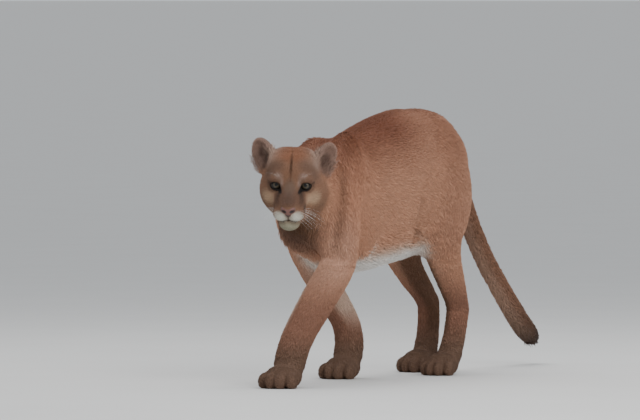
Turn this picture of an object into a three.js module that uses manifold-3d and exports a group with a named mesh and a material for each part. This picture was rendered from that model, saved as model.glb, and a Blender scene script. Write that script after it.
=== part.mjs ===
// A life-size cougar in mid-stride: head low and turned towards its left, tail hanging behind.
// Millimetres, +Z up. The animal faces -X and its left side is -Y. The floor is z = 0.
// The body is one smooth field of limbs and muscles, drawn as a mesh and parted by thin plane cuts.
import * as THREE from "three";
import Module from "manifold-3d";

const wasm = await Module();
wasm.setup();

// Driving dimensions of the animal
const LEFT = 1;
const RIGHT = -1;
const CUT_GAP = 0.3;
const NOSE_GAP = 0.5;
const SPAN_STEPS = 5;
const EYE_RADIUS = 16;
const EYE_SPACING = 71;
const EYE_OUTWARD = 6;
const EYE_SLANT = 10;
const MOUTH_LINE = 2.4;
const MOUTH_DEPTH = 4;
const EYE_HEIGHT = 491;
const HEAD_TURN = 25;
const HEAD_NOD = 16;
const HEAD_TILT = -1.5;
const HEAD_AT = new THREE.Vector3(-620, -52, EYE_HEIGHT);

// Mesh spacing for each kind of part
const BODY_GRID = 33;
const LEG_GRID = 22;
const PAW_GRID = 13;
const HEAD_GRID = 14;
const NECK_GRID = 26;
const NOSE_GRID = 4.5;
const FACE_GRID = 8.3;
const MUZZLE_GRID = 8.4;
const EAR_GRID = 7;
const TAIL_GRID = 21;

// The smooth least of two distances, rounded over the width k.
function smoothMin(a, b, k) {
  const h = Math.max(k - Math.abs(a - b), 0) / k;
  return Math.min(a, b) - h * h * k * 0.25;
}

// The smooth greatest of two distances.
function smoothMax(a, b, k) {
  return -smoothMin(-a, -b, k);
}

// A uniform Catmull-Rom blend of four values.
function blend4(a, b, c, d, t) {
  return 0.5 * (2 * b + (c - a) * t + (2 * a - 5 * b + 4 * c - d) * t * t + (3 * b - a - 3 * c + d) * t ** 3);
}

// One place along a limb: its centre, and its half sizes to the side, over the back and under.
function station(x, y, z, side, over, under = over) {
  return { x, y, z, side, over, under };
}

// The stations of a limb, filled in smoothly.
function fillIn(stations, steps = SPAN_STEPS) {
  const last = stations.length - 1;
  const pick = (i) => stations[Math.min(Math.max(i, 0), last)];
  const filled = [];
  for (let i = 0; i < last; i++) {
    for (let s = 0; s < steps; s++) {
      const made = {};
      for (const key of Object.keys(stations[0])) {
        made[key] = blend4(pick(i - 1)[key], pick(i)[key], pick(i + 1)[key], pick(i + 2)[key], s / steps);
      }
      filled.push(made);
    }
  }
  filled.push({ ...stations[last] });
  return filled;
}

// A limb: the distance to an oval-sectioned tube through its stations. sideways is the section's side direction.
function limb(stations, sideways = [0, 1, 0]) {
  const line = fillIn(stations);
  const points = line.map((s) => new THREE.Vector3(s.x, s.y, s.z));
  const frames = points.map((_, i) => {
    const before = points[Math.max(i - 1, 0)];
    const after = points[Math.min(i + 1, points.length - 1)];
    const along = after.clone().sub(before).normalize();
    const over = along.clone().cross(new THREE.Vector3(...sideways)).normalize();
    const side = over.clone().cross(along);
    return { along, over, side };
  });
  const d = new THREE.Vector3();
  const axis = new THREE.Vector3();
  const middle = new THREE.Vector3();
  const field = (p) => {
    let best = Infinity;
    let at = 0;
    let share = 0;
    for (let i = 0; i + 1 < points.length; i++) {
      axis.subVectors(points[i + 1], points[i]);
      d.subVectors(p, points[i]);
      const t = Math.min(Math.max(d.dot(axis) / axis.lengthSq(), 0), 1);
      const far = d.addScaledVector(axis, -t).lengthSq();
      if (far < best) {
        best = far;
        at = i;
        share = t;
      }
    }
    const mix = (key) => line[at][key] * (1 - share) + line[at + 1][key] * share;
    const turn = (key) => axis.copy(frames[at][key]).lerp(frames[at + 1][key], share).normalize();
    d.copy(p).sub(middle.set(mix("x"), mix("y"), mix("z")));
    const over = d.dot(turn("over"));
    const side = d.dot(turn("side"));
    const along = d.dot(turn("along"));
    const rSide = mix("side");
    const rOver = over > 0 ? mix("over") : mix("under");
    const rAlong = Math.min(rSide, (mix("over") + mix("under")) / 2);
    return ovalDistance(side / rSide, over / rOver, along / rAlong, rSide, rOver, rAlong);
  };
  const ball = new THREE.Box3().setFromPoints(points).getBoundingSphere(new THREE.Sphere());
  return bounded(field, ball.center, ball.radius + Math.max(...line.flatMap((s) => [s.side, s.over, s.under])));
}

// Notes how far a field reaches from a centre, so that it can be passed over from farther away.
function bounded(field, centre, reach) {
  return Object.assign(field, { centre, reach });
}

// The near distance to an oval, from a point's places as shares of its half sizes.
function ovalDistance(a, b, c, ra, rb, rc) {
  const k0 = Math.hypot(a, b, c);
  const k1 = Math.hypot(a / ra, b / rb, c / rc);
  return k1 > 1e-9 ? (k0 * (k0 - 1)) / k1 : -Math.min(ra, rb, rc);
}

// A muscle: an oval blob with half sizes along its own axes, turned by angles in degrees.
function muscle(at, sizes, turns = [0, 0, 0]) {
  const centre = new THREE.Vector3(...at);
  const angles = turns.map((a) => THREE.MathUtils.degToRad(a));
  const back = new THREE.Quaternion().setFromEuler(new THREE.Euler(...angles)).invert();
  const d = new THREE.Vector3();
  const field = (p) => {
    d.copy(p).sub(centre).applyQuaternion(back);
    return ovalDistance(d.x / sizes[0], d.y / sizes[1], d.z / sizes[2], ...sizes);
  };
  return bounded(field, centre, Math.max(...sizes));
}

// Joins fields in order: each entry is [field, width of the blend].
function joined(entries) {
  return (p) => {
    let sum = 1e6;
    for (const [field, k] of entries) {
      if (field.centre && p.distanceTo(field.centre) - field.reach > sum + k + 5) continue;
      sum = smoothMin(sum, field(p), k);
    }
    return sum;
  };
}

// The trunk from chest to rump: stations give the widest level, with the back over it and the belly under it.
const trunk = limb([
  station(-452, -4, 452, 60, 84, 92),
  station(-400, 0, 446, 86, 126, 140),
  station(-320, 0, 442, 104, 150, 170),
  station(-220, 0, 444, 114, 178, 174),
  station(-100, 0, 452, 117, 200, 168),
  station(20, 0, 468, 106, 204, 166),
  station(112, 0, 490, 92, 183, 142),
  station(186, 0, 503, 83, 158, 112),
  station(222, 0, 505, 60, 127, 80),
]);

const neck = limb([
  station(-566, -28, 484, 60, 56, 74),
  station(-510, -12, 480, 66, 62, 92),
  station(-450, -2, 478, 76, 74, 110),
  station(-390, 0, 474, 82, 90, 120),
]);

const tail = limb([
  station(196, 0, 566, 38, 36),
  station(246, 0, 536, 30, 30),
  station(292, 0, 486, 26, 27),
  station(340, 0, 418, 25, 26),
  station(394, 1, 345, 25, 26),
  station(466, 3, 268, 25, 26),
  station(550, 6, 196, 26, 26),
  station(650, 14, 122, 27, 27),
  station(724, 26, 84, 26, 26),
  station(768, 36, 70, 18, 18),
]);

// The left foreleg reaches forward and the right one trails.
const leftFore = limb([
  station(-334, -48, 582, 26, 42),
  station(-376, -70, 530, 33, 58),
  station(-442, -84, 436, 46, 62),
  station(-450, -88, 350, 45, 58, 50),
  station(-456, -86, 290, 42, 50, 46),
  station(-530, -78, 214, 43, 45, 43),
  station(-600, -71, 142, 41, 38, 38),
  station(-634, -68, 96, 40, 34, 36),
  station(-652, -67, 58, 41, 30, 34),
]);
const rightFore = limb([
  station(-326, 46, 570, 26, 42),
  station(-342, 68, 520, 33, 58),
  station(-366, 82, 430, 44, 60),
  station(-324, 84, 350, 42, 54, 50),
  station(-288, 80, 290, 40, 46, 44),
  station(-226, 70, 216, 38, 40, 38),
  station(-168, 58, 146, 36, 32, 33),
  station(-152, 54, 96, 37, 30, 32),
  station(-158, 53, 58, 39, 29, 32),
]);
const leftHind = limb([
  station(168, -36, 558, 43, 80),
  station(124, -60, 470, 50, 90, 86),
  station(74, -78, 376, 48, 78, 66),
  station(80, -80, 312, 43, 60, 46),
  station(124, -78, 246, 36, 42, 38),
  station(164, -75, 186, 29, 33, 30),
  station(172, -73, 150, 28, 31, 28),
  station(158, -72, 92, 29, 25, 25),
  station(138, -71, 50, 33, 25, 26),
]);
const rightHind = limb([
  station(176, 36, 556, 43, 80),
  station(178, 58, 466, 48, 88, 88),
  station(132, 74, 376, 47, 74, 66),
  station(140, 76, 314, 42, 58, 46),
  station(194, 74, 252, 35, 42, 36),
  station(260, 72, 196, 29, 32, 29),
  station(280, 70, 160, 28, 30, 27),
  station(276, 69, 98, 29, 25, 25),
  station(262, 68, 52, 33, 25, 26),
]);

// A paw: a broad pad with four toes, the toes pointing along -X turned by heading degrees.
function paw(x, y, long, wide, heading) {
  const turn = THREE.MathUtils.degToRad(heading);
  const place = (ahead, across, z) => [
    x - ahead * Math.cos(turn) - across * Math.sin(turn),
    y - ahead * Math.sin(turn) + across * Math.cos(turn),
    z,
  ];
  const toes = [-1.5, -0.5, 0.5, 1.5].map((rank) => {
    const reach = long * (Math.abs(rank) > 1 ? 0.36 : 0.5);
    const sizes = [long * 0.24, wide * 0.145, 22];
    return muscle(place(reach, rank * wide * 0.235, 17), sizes, [0, 0, heading - rank * 6]);
  });
  const pad = muscle(place(long * 0.05, 0, 24), [long * 0.46, wide * 0.42, 30], [0, -10, heading]);
  const knuckles = muscle(place(long * 0.22, 0, 34), [long * 0.28, wide * 0.38, 20], [0, -24, heading]);
  return joined([[pad, 1], [knuckles, 16], ...toes.map((toe) => [toe, 9])]);
}
const leftForepaw = paw(-672, -66, 104, 100, 4);
const rightForepaw = paw(-176, 53, 104, 96, 2);
const leftHindpaw = paw(112, -70, 100, 88, 3);
const rightHindpaw = paw(236, 67, 100, 88, 0);

// Muscles that stand out on each side, and the heel of each hind foot
const bulges = [
  [muscle([-346, -84, 372], [58, 28, 72], [0, 24, 0]), 40],
  [muscle([-282, 82, 372], [54, 28, 68], [0, 34, 0]), 40],
  [muscle([116, -60, 424], [82, 40, 100], [0, -24, 0]), 60],
  [muscle([180, 60, 424], [80, 40, 98], [0, -14, 0]), 60],
  [muscle([-466, -52, 410], [42, 40, 64], [0, 0, 0]), 50],
  [muscle([-424, 44, 398], [40, 38, 60], [0, 0, 0]), 50],
  [muscle([186, -74, 168], [16, 14, 26], [0, 10, 0]), 16],
  [muscle([294, 71, 178], [16, 14, 26], [0, 14, 0]), 16],
];

// The head in its own frame: +x to the nose, +y to the animal's left, +z up, from the midpoint of the eyes.
const headTurn = new THREE.Quaternion()
  .setFromAxisAngle(new THREE.Vector3(0, 0, 1), THREE.MathUtils.degToRad(180 + HEAD_TURN))
  .multiply(new THREE.Quaternion().setFromAxisAngle(new THREE.Vector3(0, 1, 0), THREE.MathUtils.degToRad(HEAD_NOD)))
  .multiply(new THREE.Quaternion().setFromAxisAngle(new THREE.Vector3(1, 0, 0), THREE.MathUtils.degToRad(HEAD_TILT)));
const headTurnBack = headTurn.clone().invert();

// A place on the head in the body's frame.
function fromHead(x, y, z) {
  return new THREE.Vector3(x, y, z).applyQuaternion(headTurn).add(HEAD_AT);
}

// A field of the head's frame, seen from the body's frame.
function onHead(field) {
  const q = new THREE.Vector3();
  const seen = (p) => field(q.copy(p).sub(HEAD_AT).applyQuaternion(headTurnBack));
  return bounded(seen, HEAD_AT, 185);
}

// The same blob on both sides of the head.
function pair(at, sizes, turns, k) {
  return [LEFT, RIGHT].map((side) => [
    muscle([at[0], side * at[1], at[2]], sizes, [side * turns[0], turns[1], side * turns[2]]),
    k,
  ]);
}

const skull = joined([
  [muscle([-66, 0, 12], [66, 56, 60]), 1],
  ...pair([-60, 30, 34], [42, 30, 36], [0, 0, 0], 24),
  [muscle([-30, 0, 22], [48, 50, 36], [0, 16, 0]), 30],
  ...pair([-34, 50, -20], [44, 28, 36], [0, 0, -14], 26),
  ...pair([-56, 42, -44], [46, 30, 38], [0, 0, 0], 26),
  ...pair([0, 34, 19], [19, 18, 8], [-14, 20, 24], 14),
  [limb([station(-6, 0, 6, 26, 18, 26), station(34, 0, -7, 20, 15, 26), station(78, 0, -28, 17, 12, 22)]), 16],
  ...pair([28, 22, -34], [34, 18, 22], [0, 20, -16], 18),
  [muscle([40, 0, -43], [42, 34, 29], [0, 12, 0]), 16],
  ...pair([60, 17.5, -53], [26, 22, 18.5], [0, 10, -12], 8),
  [muscle([55, 0, -80], [23, 20, 15], [0, 6, 0]), 9],
  [limb([station(40, 0, -84, 22, 14, 16), station(-10, 0, -80, 38, 20, 22), station(-60, 0, -62, 46, 30, 34)]), 24],
]);

// The way each ear stands in the head's frame: its foot, its length and the way its cup opens.
function earFrame(side) {
  const up = new THREE.Vector3(-27, side * 27, 52).normalize();
  const open = new THREE.Vector3(0.8, side * (side === LEFT ? 0.75 : 0.45), 0.1);
  open.addScaledVector(up, -open.dot(up)).normalize();
  const basis = new THREE.Matrix4().makeBasis(open, up.clone().cross(open), up);
  const foot = side === LEFT ? [-58, 64, 25] : [-58, -62, 33];
  return { foot: new THREE.Vector3(...foot), turn: new THREE.Quaternion().setFromRotationMatrix(basis) };
}

// An ear: a rounded cup, hollow in front.
function ear(side) {
  const { foot, turn } = earFrame(side);
  const back = turn.clone().invert();
  const shell = muscle([0, 0, 16], [20, 33, 54]);
  const hollow = muscle([16, 0, 22], [20, 25.5, 40]);
  const q = new THREE.Vector3();
  const field = (p) => {
    q.copy(p).sub(foot).applyQuaternion(back);
    return smoothMax(shell(q), -hollow(q), 4);
  };
  return bounded(field, foot, 70);
}

// The hollow that each eyeball sits in, and the almond between its lids.
function lidsOpen(side) {
  const turn = new THREE.Quaternion()
    .setFromAxisAngle(new THREE.Vector3(0, 0, 1), side * THREE.MathUtils.degToRad(EYE_OUTWARD))
    .multiply(new THREE.Quaternion().setFromAxisAngle(new THREE.Vector3(1, 0, 0), side * THREE.MathUtils.degToRad(EYE_SLANT)));
  const back = turn.clone().invert();
  const centre = new THREE.Vector3(0, (side * EYE_SPACING) / 2, 0);
  const q = new THREE.Vector3();
  const field = (p) => {
    q.copy(p).sub(centre).applyQuaternion(back);
    const upper = Math.hypot(q.y, q.z + 5) - 14.8;
    const lower = Math.hypot(q.y, q.z - 5.4) - 14.8;
    return smoothMax(smoothMax(upper, lower, 1.5), 2 - q.x, 1);
  };
  return bounded(field, centre, 60);
}
const lidsLeft = lidsOpen(LEFT);
const lidsRight = lidsOpen(RIGHT);

// The line of the mouth: how far a point lies above it, in the head's frame.
function aboveMouth(p) {
  const side = Math.abs(p.y);
  const drop = side < 16 ? 4 * (side / 16) ** 2 : 4 + (side - 16) * 0.05;
  return p.z - (-67 - drop + 0.14 * (84 - p.x));
}

// The head with its eye openings, the line of the mouth, the cleft of the upper lip and the nostrils.
function carved(base) {
  return (p) => {
    let d = base(p);
    if (p.x < -20) return d;
    const eye = Math.min(lidsLeft(p), lidsRight(p));
    d = smoothMax(d, -eye, 1.5);
    if (p.x < 10) return d;
    const mouth = Math.max(Math.abs(aboveMouth(p)) - MOUTH_LINE / 2, -(d + MOUTH_DEPTH), 20 - p.x);
    d = smoothMax(d, -mouth, 2);
    const cleft = Math.max(Math.abs(p.y) - 0.9, -(d + 3), 62 - p.x, p.z + 44, -aboveMouth(p));
    return smoothMax(d, -cleft, 2);
  };
}

const head = carved(
  joined([
    [skull, 1],
    ...pair([0, EYE_SPACING / 2, 0], [EYE_RADIUS + 2.4, EYE_RADIUS + 3, EYE_RADIUS + 1.5], [0, 0, 0], 7),
    [ear(LEFT), 10],
    [ear(RIGHT), 10],
  ]),
);

// The pad of the nose with its two nostrils, in the head's frame.
const noseShape = joined([
  [muscle([82, 0, -35], [10, 13.5, 8], [0, 24, 0]), 1],
  ...pair([83, 9.5, -38], [8, 8.5, 8.5], [0, 20, 20], 6),
  [muscle([85, 0, -46], [7, 6.5, 9], [0, -10, 0]), 8],
]);
const nostrils = pair([93, 8.6, -40.5], [9, 3.2, 2.6], [30, 0, -30], 1).map(([field]) => field);
function nose(p) {
  return nostrils.reduce((d, nostril) => smoothMax(d, -nostril(p), 1.5), noseShape(p));
}

const body = joined([
  [trunk, 1],
  [neck, 60],
  [leftFore, 46],
  [rightFore, 46],
  [leftHind, 46],
  [rightHind, 46],
  ...bulges,
  [tail, 34],
  [leftForepaw, 14],
  [rightForepaw, 14],
  [leftHindpaw, 14],
  [rightHindpaw, 14],
  [onHead(head), 30],
]);

// Fills the places where a shape only meets itself across a corner of the grid, so that its mesh can't pinch.
function thicken(values, counts, index) {
  let changed = true;
  while (changed) {
    changed = false;
    for (let i = 0; i + 1 < counts[0]; i++) {
      for (let j = 0; j + 1 < counts[1]; j++) {
        for (let k = 0; k + 1 < counts[2]; k++) {
          for (const [u, v] of [[[1, 0, 0], [0, 1, 0]], [[0, 1, 0], [0, 0, 1]], [[0, 0, 1], [1, 0, 0]]]) {
            const at = [
              index(i, j, k),
              index(i + u[0], j + u[1], k + u[2]),
              index(i + u[0] + v[0], j + u[1] + v[1], k + u[2] + v[2]),
              index(i + v[0], j + v[1], k + v[2]),
            ];
            const inside = at.map((n) => values[n] < 0);
            if (inside[0] !== inside[2] || inside[1] !== inside[3] || inside[0] === inside[1]) continue;
            const open = inside[0] ? [at[1], at[3]] : [at[0], at[2]];
            values[values[open[0]] < values[open[1]] ? open[0] : open[1]] = -0.01;
            changed = true;
          }
        }
      }
    }
  }
}

// Draws a field as a closed mesh on a grid inside a box, with one corner in each cell that the surface crosses.
function drawn(field, low, high, grid) {
  const counts = [0, 1, 2].map((a) => Math.ceil((high[a] - low[a]) / grid) + 2);
  const index = (i, j, k) => (i * counts[1] + j) * counts[2] + k;
  const p = new THREE.Vector3();
  const place = (i, j, k) => p.set(low[0] + (i - 0.5) * grid, low[1] + (j - 0.5) * grid, low[2] + (k - 0.5) * grid);
  const values = new Float32Array(counts[0] * counts[1] * counts[2]);
  for (let i = 0; i < counts[0]; i++) {
    for (let j = 0; j < counts[1]; j++) {
      for (let k = 0; k < counts[2]; k++) {
        const rim = [i, j, k].some((n, a) => n === 0 || n === counts[a] - 1);
        const value = field(place(i, j, k));
        values[index(i, j, k)] = rim ? Math.max(value, grid * 0.5) : value;
      }
    }
  }
  thicken(values, counts, index);
  const corners = [];
  for (let c = 0; c < 8; c++) corners.push([c & 1, (c >> 1) & 1, (c >> 2) & 1]);
  const cellPoint = new Map();
  const positions = [];
  for (let i = 0; i + 1 < counts[0]; i++) {
    for (let j = 0; j + 1 < counts[1]; j++) {
      for (let k = 0; k + 1 < counts[2]; k++) {
        const sum = new THREE.Vector3();
        let crossings = 0;
        for (let c = 0; c < 8; c++) {
          for (let a = 0; a < 3; a++) {
            if (corners[c][a]) continue;
            const [x, y, z] = [i + corners[c][0], j + corners[c][1], k + corners[c][2]];
            const f0 = values[index(x, y, z)];
            const f1 = values[index(x + (a === 0), y + (a === 1), z + (a === 2))];
            if (f0 < 0 === f1 < 0) continue;
            const t = f0 / (f0 - f1);
            sum.add(place(x + (a === 0) * t, y + (a === 1) * t, z + (a === 2) * t));
            crossings++;
          }
        }
        if (!crossings) continue;
        cellPoint.set(index(i, j, k), positions.length / 3);
        const point = settled(field, sum.divideScalar(crossings), place(i + 0.06, j + 0.06, k + 0.06), grid * 0.88);
        positions.push(point.x, point.y, point.z);
      }
    }
  }
  const faces = [];
  const steps = [index(1, 0, 0), index(0, 1, 0), index(0, 0, 1)];
  for (let i = 0; i + 1 < counts[0]; i++) {
    for (let j = 0; j + 1 < counts[1]; j++) {
      for (let k = 0; k + 1 < counts[2]; k++) {
        const here = index(i, j, k);
        for (let a = 0; a < 3; a++) {
          const f0 = values[here];
          const f1 = values[here + steps[a]];
          if (f0 < 0 === f1 < 0) continue;
          const [u, v] = [steps[(a + 1) % 3], steps[(a + 2) % 3]];
          const ring = [here - u - v, here - v, here, here - u].map((cell) => cellPoint.get(cell));
          if (f0 >= 0) ring.reverse();
          faces.push(...twoTriangles(ring, positions));
        }
      }
    }
  }
  return new wasm.Manifold(
    new wasm.Mesh({
      numProp: 3,
      vertProperties: new Float32Array(positions),
      triVerts: new Uint32Array(faces),
    }),
  );
}

// Moves a point onto the surface of a field, inside the cube of the grid that it belongs to.
function settled(field, start, corner, width) {
  const p = start.clone();
  const q = new THREE.Vector3();
  const room = new THREE.Box3(corner, corner.clone().addScalar(width));
  for (let step = 0; step < 3; step++) {
    const f = field(p);
    const slope = new THREE.Vector3(
      field(q.copy(p).setX(p.x + 1)) - f,
      field(q.copy(p).setY(p.y + 1)) - f,
      field(q.copy(p).setZ(p.z + 1)) - f,
    );
    const steep = Math.max(slope.lengthSq(), 0.05);
    p.addScaledVector(slope, -f / steep);
    room.clampPoint(p, p);
  }
  return p;
}

// A four-cornered face as two triangles, split along its shorter diagonal.
function twoTriangles([a, b, c, d], positions) {
  const far = (m, n) =>
    Math.hypot(...[0, 1, 2].map((axis) => positions[m * 3 + axis] - positions[n * 3 + axis]));
  return far(a, c) <= far(b, d) ? [a, b, c, a, c, d] : [a, b, d, b, c, d];
}

// A three.js geometry as a solid.
function solidOf(geometry) {
  const g = geometry.index ? geometry.toNonIndexed() : geometry;
  const key = new Map();
  const positions = [];
  const faces = [];
  const at = g.getAttribute("position");
  for (let i = 0; i < at.count; i++) {
    const name = [at.getX(i), at.getY(i), at.getZ(i)].map((v) => v.toFixed(3)).join();
    if (!key.has(name)) {
      key.set(name, positions.length / 3);
      positions.push(at.getX(i), at.getY(i), at.getZ(i));
    }
    faces.push(key.get(name));
  }
  return new wasm.Manifold(
    new wasm.Mesh({ numProp: 3, vertProperties: new Float32Array(positions), triVerts: new Uint32Array(faces) }),
  );
}

// A half space as a great box: everything on the far side of a plane, seen along its normal.
function beyond(point, normal, gap = CUT_GAP / 2) {
  const size = 3000;
  const n = new THREE.Vector3(...normal).normalize();
  const box = new THREE.BoxGeometry(size, size, size);
  box.applyQuaternion(new THREE.Quaternion().setFromUnitVectors(new THREE.Vector3(0, 0, 1), n));
  const centre = new THREE.Vector3(...point).addScaledVector(n, size / 2 - gap);
  box.translate(centre.x, centre.y, centre.z);
  return solidOf(box);
}

// Only the largest closed surface of a solid.
function largest(solid) {
  const pieces = solid.decompose();
  return pieces.reduce((best, piece) => (piece.volume() > best.volume() ? piece : best));
}

// The colour and the roughness of each kind of surface
const finishes = {
  back: [0x9c6a4a, 0.85],
  side: [0xa07052, 0.85],
  leg: [0x966448, 0.85],
  paw: [0x8c6450, 0.85],
  ear: [0x8a7466, 0.9],
  face: [0x8c6850, 0.85],
  muzzle: [0xb09c8c, 0.85],
  chin: [0xc8c0b0, 0.85],
  tail: [0x8a5c44, 0.9],
  tip: [0x3c2c26, 0.9],
  eye: [0x2c2822, 0.1],
  nose: [0x96645a, 0.5],
};

// Joins the corners of a mesh that are nearly in one place, so that no sliver is left.
function welded({ vertProperties: at, triVerts }, within) {
  const same = Array.from({ length: at.length / 3 }, (_, i) => i);
  const first = (i) => {
    while (same[i] !== i) i = same[i];
    return i;
  };
  const apart = (i, j) => Math.hypot(at[i * 3] - at[j * 3], at[i * 3 + 1] - at[j * 3 + 1], at[i * 3 + 2] - at[j * 3 + 2]);
  for (let t = 0; t < triVerts.length; t += 3) {
    for (const [i, j] of [[t, t + 1], [t + 1, t + 2], [t + 2, t]].map((pair) => pair.map((c) => first(triVerts[c])))) {
      if (i !== j && apart(i, j) < within) same[Math.max(i, j)] = Math.min(i, j);
    }
  }
  const faces = [];
  for (let t = 0; t < triVerts.length; t += 3) {
    const face = [0, 1, 2].map((c) => first(triVerts[t + c]));
    if (new Set(face).size === 3) faces.push(...face);
  }
  return faces;
}

// Whether every edge of a mesh is met by one face on each side, by the places of its corners.
function closed(at, faces) {
  const place = (i) => [0, 1, 2].map((axis) => at[i * 3 + axis].toFixed(2)).join();
  const edges = new Set();
  for (let t = 0; t < faces.length; t += 3) {
    for (let c = 0; c < 3; c++) edges.add(`${place(faces[t + c])} ${place(faces[t + ((c + 1) % 3)])}`);
  }
  return edges.size === faces.length;
}

// A named mesh of a solid, or nothing if it touches itself.
function node(name, solid, finish) {
  const made = solid.getMesh();
  const choices = [0.12, 0.2, 0.05, 0.3, 0.02].map((within) => welded(made, within));
  const faces = choices.find((choice) => closed(made.vertProperties, choice));
  if (!faces) return null;
  const geometry = new THREE.BufferGeometry();
  geometry.setAttribute("position", new THREE.BufferAttribute(made.vertProperties, 3));
  geometry.setIndex(faces);
  geometry.computeVertexNormals();
  const [color, roughness] = finishes[finish];
  const mesh = new THREE.Mesh(geometry, new THREE.MeshStandardMaterial({ color, roughness, metalness: 0 }));
  mesh.name = name;
  return mesh;
}

// A plane of the head's frame as [point, outward normal] of the body's frame.
function headPlane(at, normal) {
  return [fromHead(...at).toArray(), new THREE.Vector3(...normal).applyQuaternion(headTurn).toArray()];
}

function flipped([point, normal]) {
  return [point, normal.map((v) => -v)];
}

const neckEnd = headPlane([-98, 0, 0], [0.95, 0, 0.31]);
const neckRoot = [[-450, 0, 470], [0.9, -0.14, -0.4]];
const tailRoot = [[240, 0, 540], [-0.82, 0, 0.57]];
const tailUnder = [[262, 0, 466], [-0.9, 0, -0.43]];
const tailMiddle = [[420, 1, 320], [-0.66, 0, 0.75]];
const tailEnd = [[640, 13, 130], [-0.8, 0, 0.6]];

// The places where the body is parted, in order: each takes what the ones before it have left.
// Each has its finish, its mesh spacing, the box that holds it, and planes with outward normals.
const regions = [
  region("left_ear", "ear", EAR_GRID, [-620, -210, 500], [-480, -40, 650], [
    headPlane([-62, 62, 34], [0.28, -0.3, -0.9]),
    headPlane([0, 34, 0], [0, -1, 0]),
  ]),
  region("right_ear", "ear", EAR_GRID, [-620, -60, 500], [-460, 110, 650], [
    headPlane([-62, -60, 41], [0.28, 0.3, -0.9]),
    headPlane([0, -34, 0], [0, 1, 0]),
  ]),
  region("lower_jaw", "chin", MUZZLE_GRID, [-745, -190, 330], [-600, 20, 430], [
    headPlane([84, 0, -69], [-0.14, 0, 1]),
    headPlane([14, 0, -70], [-0.94, 0, 0.34]),
  ]),
  region("muzzle", "muzzle", MUZZLE_GRID, [-760, -190, 330], [-600, 30, 500], [headPlane([26, 0, -30], [-0.97, 0, 0.24])]),
  region("face", "face", FACE_GRID, [-745, -190, 330], [-560, 60, 580], [
    headPlane([-24, 0, 0], [-0.99, 0, 0.14]),
    headPlane([0, 0, -62], [0.3, 0, -0.95]),
  ]),
  region("head", "face", HEAD_GRID, [-745, -190, 330], [-490, 95, 600], [flipped(neckEnd)]),
  region("neck", "side", NECK_GRID, [-680, -150, 290], [-340, 140, 610], [neckEnd, neckRoot]),
  region("left_forepaw", "paw", PAW_GRID, [-760, -140, 0], [-560, 0, 130], [[[-640, 0, 84], [-0.34, 0, 0.94]]]),
  region("right_forepaw", "paw", PAW_GRID, [-260, 0, 0], [-80, 130, 130], [[[-155, 0, 84], [-0.1, 0, 1]]]),
  region("left_hindpaw", "paw", PAW_GRID, [30, -140, 0], [220, 0, 120], [[[150, 0, 70], [0.3, 0, 1]]]),
  region("right_hindpaw", "paw", PAW_GRID, [150, 0, 0], [350, 130, 120], [[[275, 0, 70], [0.3, 0, 1]]]),
  region("left_forearm", "leg", LEG_GRID, [-700, -150, 20], [-390, -20, 330], [
    [[-450, 0, 296], [0.5, 0, 0.86]],
    [[-420, -30, 250], [0, 1, 0]],
  ]),
  region("right_forearm", "leg", LEG_GRID, [-380, 20, 20], [-80, 150, 330], [
    [[-300, 0, 292], [-0.2, 0, 1]],
    [[-215, 0, 270], [0.8, 0, 0.6]],
  ]),
  region("left_shank", "leg", LEG_GRID, [20, -150, 20], [230, -20, 330], [[[80, 0, 300], [-0.2, 0, 1]]]),
  region("right_shank", "leg", LEG_GRID, [80, 20, 20], [340, 150, 330], [[[150, 0, 300], [-0.2, 0, 1]]]),
  region("tail_tip", "tip", TAIL_GRID, [580, -40, 10], [820, 90, 220], [tailEnd]),
  region("tail_middle", "tail", TAIL_GRID, [380, -50, 60], [720, 60, 400], [tailMiddle]),
  region("tail_base", "tail", TAIL_GRID, [215, -60, 250], [460, 60, 620], [tailRoot, tailUnder]),
  region("left_upper_foreleg", "side", BODY_GRID, [-560, -170, 250], [-280, -62, 590], [[[-300, 0, 400], [0.8, 0, -0.6]]]),
  region("right_upper_foreleg", "side", BODY_GRID, [-500, 62, 250], [-220, 170, 590], [[[-250, 0, 340], [0.8, 0, -0.6]]]),
  region("left_thigh", "side", BODY_GRID, [-20, -170, 250], [260, -56, 580], [[[20, 0, 400], [-0.9, 0, 0.4]]]),
  region("right_thigh", "side", BODY_GRID, [20, 56, 250], [300, 170, 580], [[[60, 0, 400], [-0.9, 0, 0.4]]]),
  region("rump", "back", BODY_GRID, [60, -160, 230], [300, 160, 700], []),
  region("loin", "back", BODY_GRID, [-140, -160, 230], [80, 160, 700], [[[60, 0, 0], [1, 0, 0]]]),
  region("chest", "back", BODY_GRID, [-560, -160, 230], [-120, 160, 700], [[[-140, 0, 0], [1, 0, 0]]]),
];

// One place where the body is parted.
function region(name, finish, grid, low, high, planes) {
  return { name, finish, grid, low, high, planes };
}

// Everything inside a region, as a solid, made smaller or greater on each side.
function cell({ low, high, planes }, greater) {
  const sizes = high.map((v, i) => v - low[i] + greater * 2);
  const room = new THREE.BoxGeometry(...sizes);
  room.translate(...high.map((v, i) => (v + low[i]) / 2));
  return planes.reduce((kept, [point, normal]) => kept.subtract(beyond(point, normal, -greater)), solidOf(room));
}

const cougar = new THREE.Group();

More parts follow.
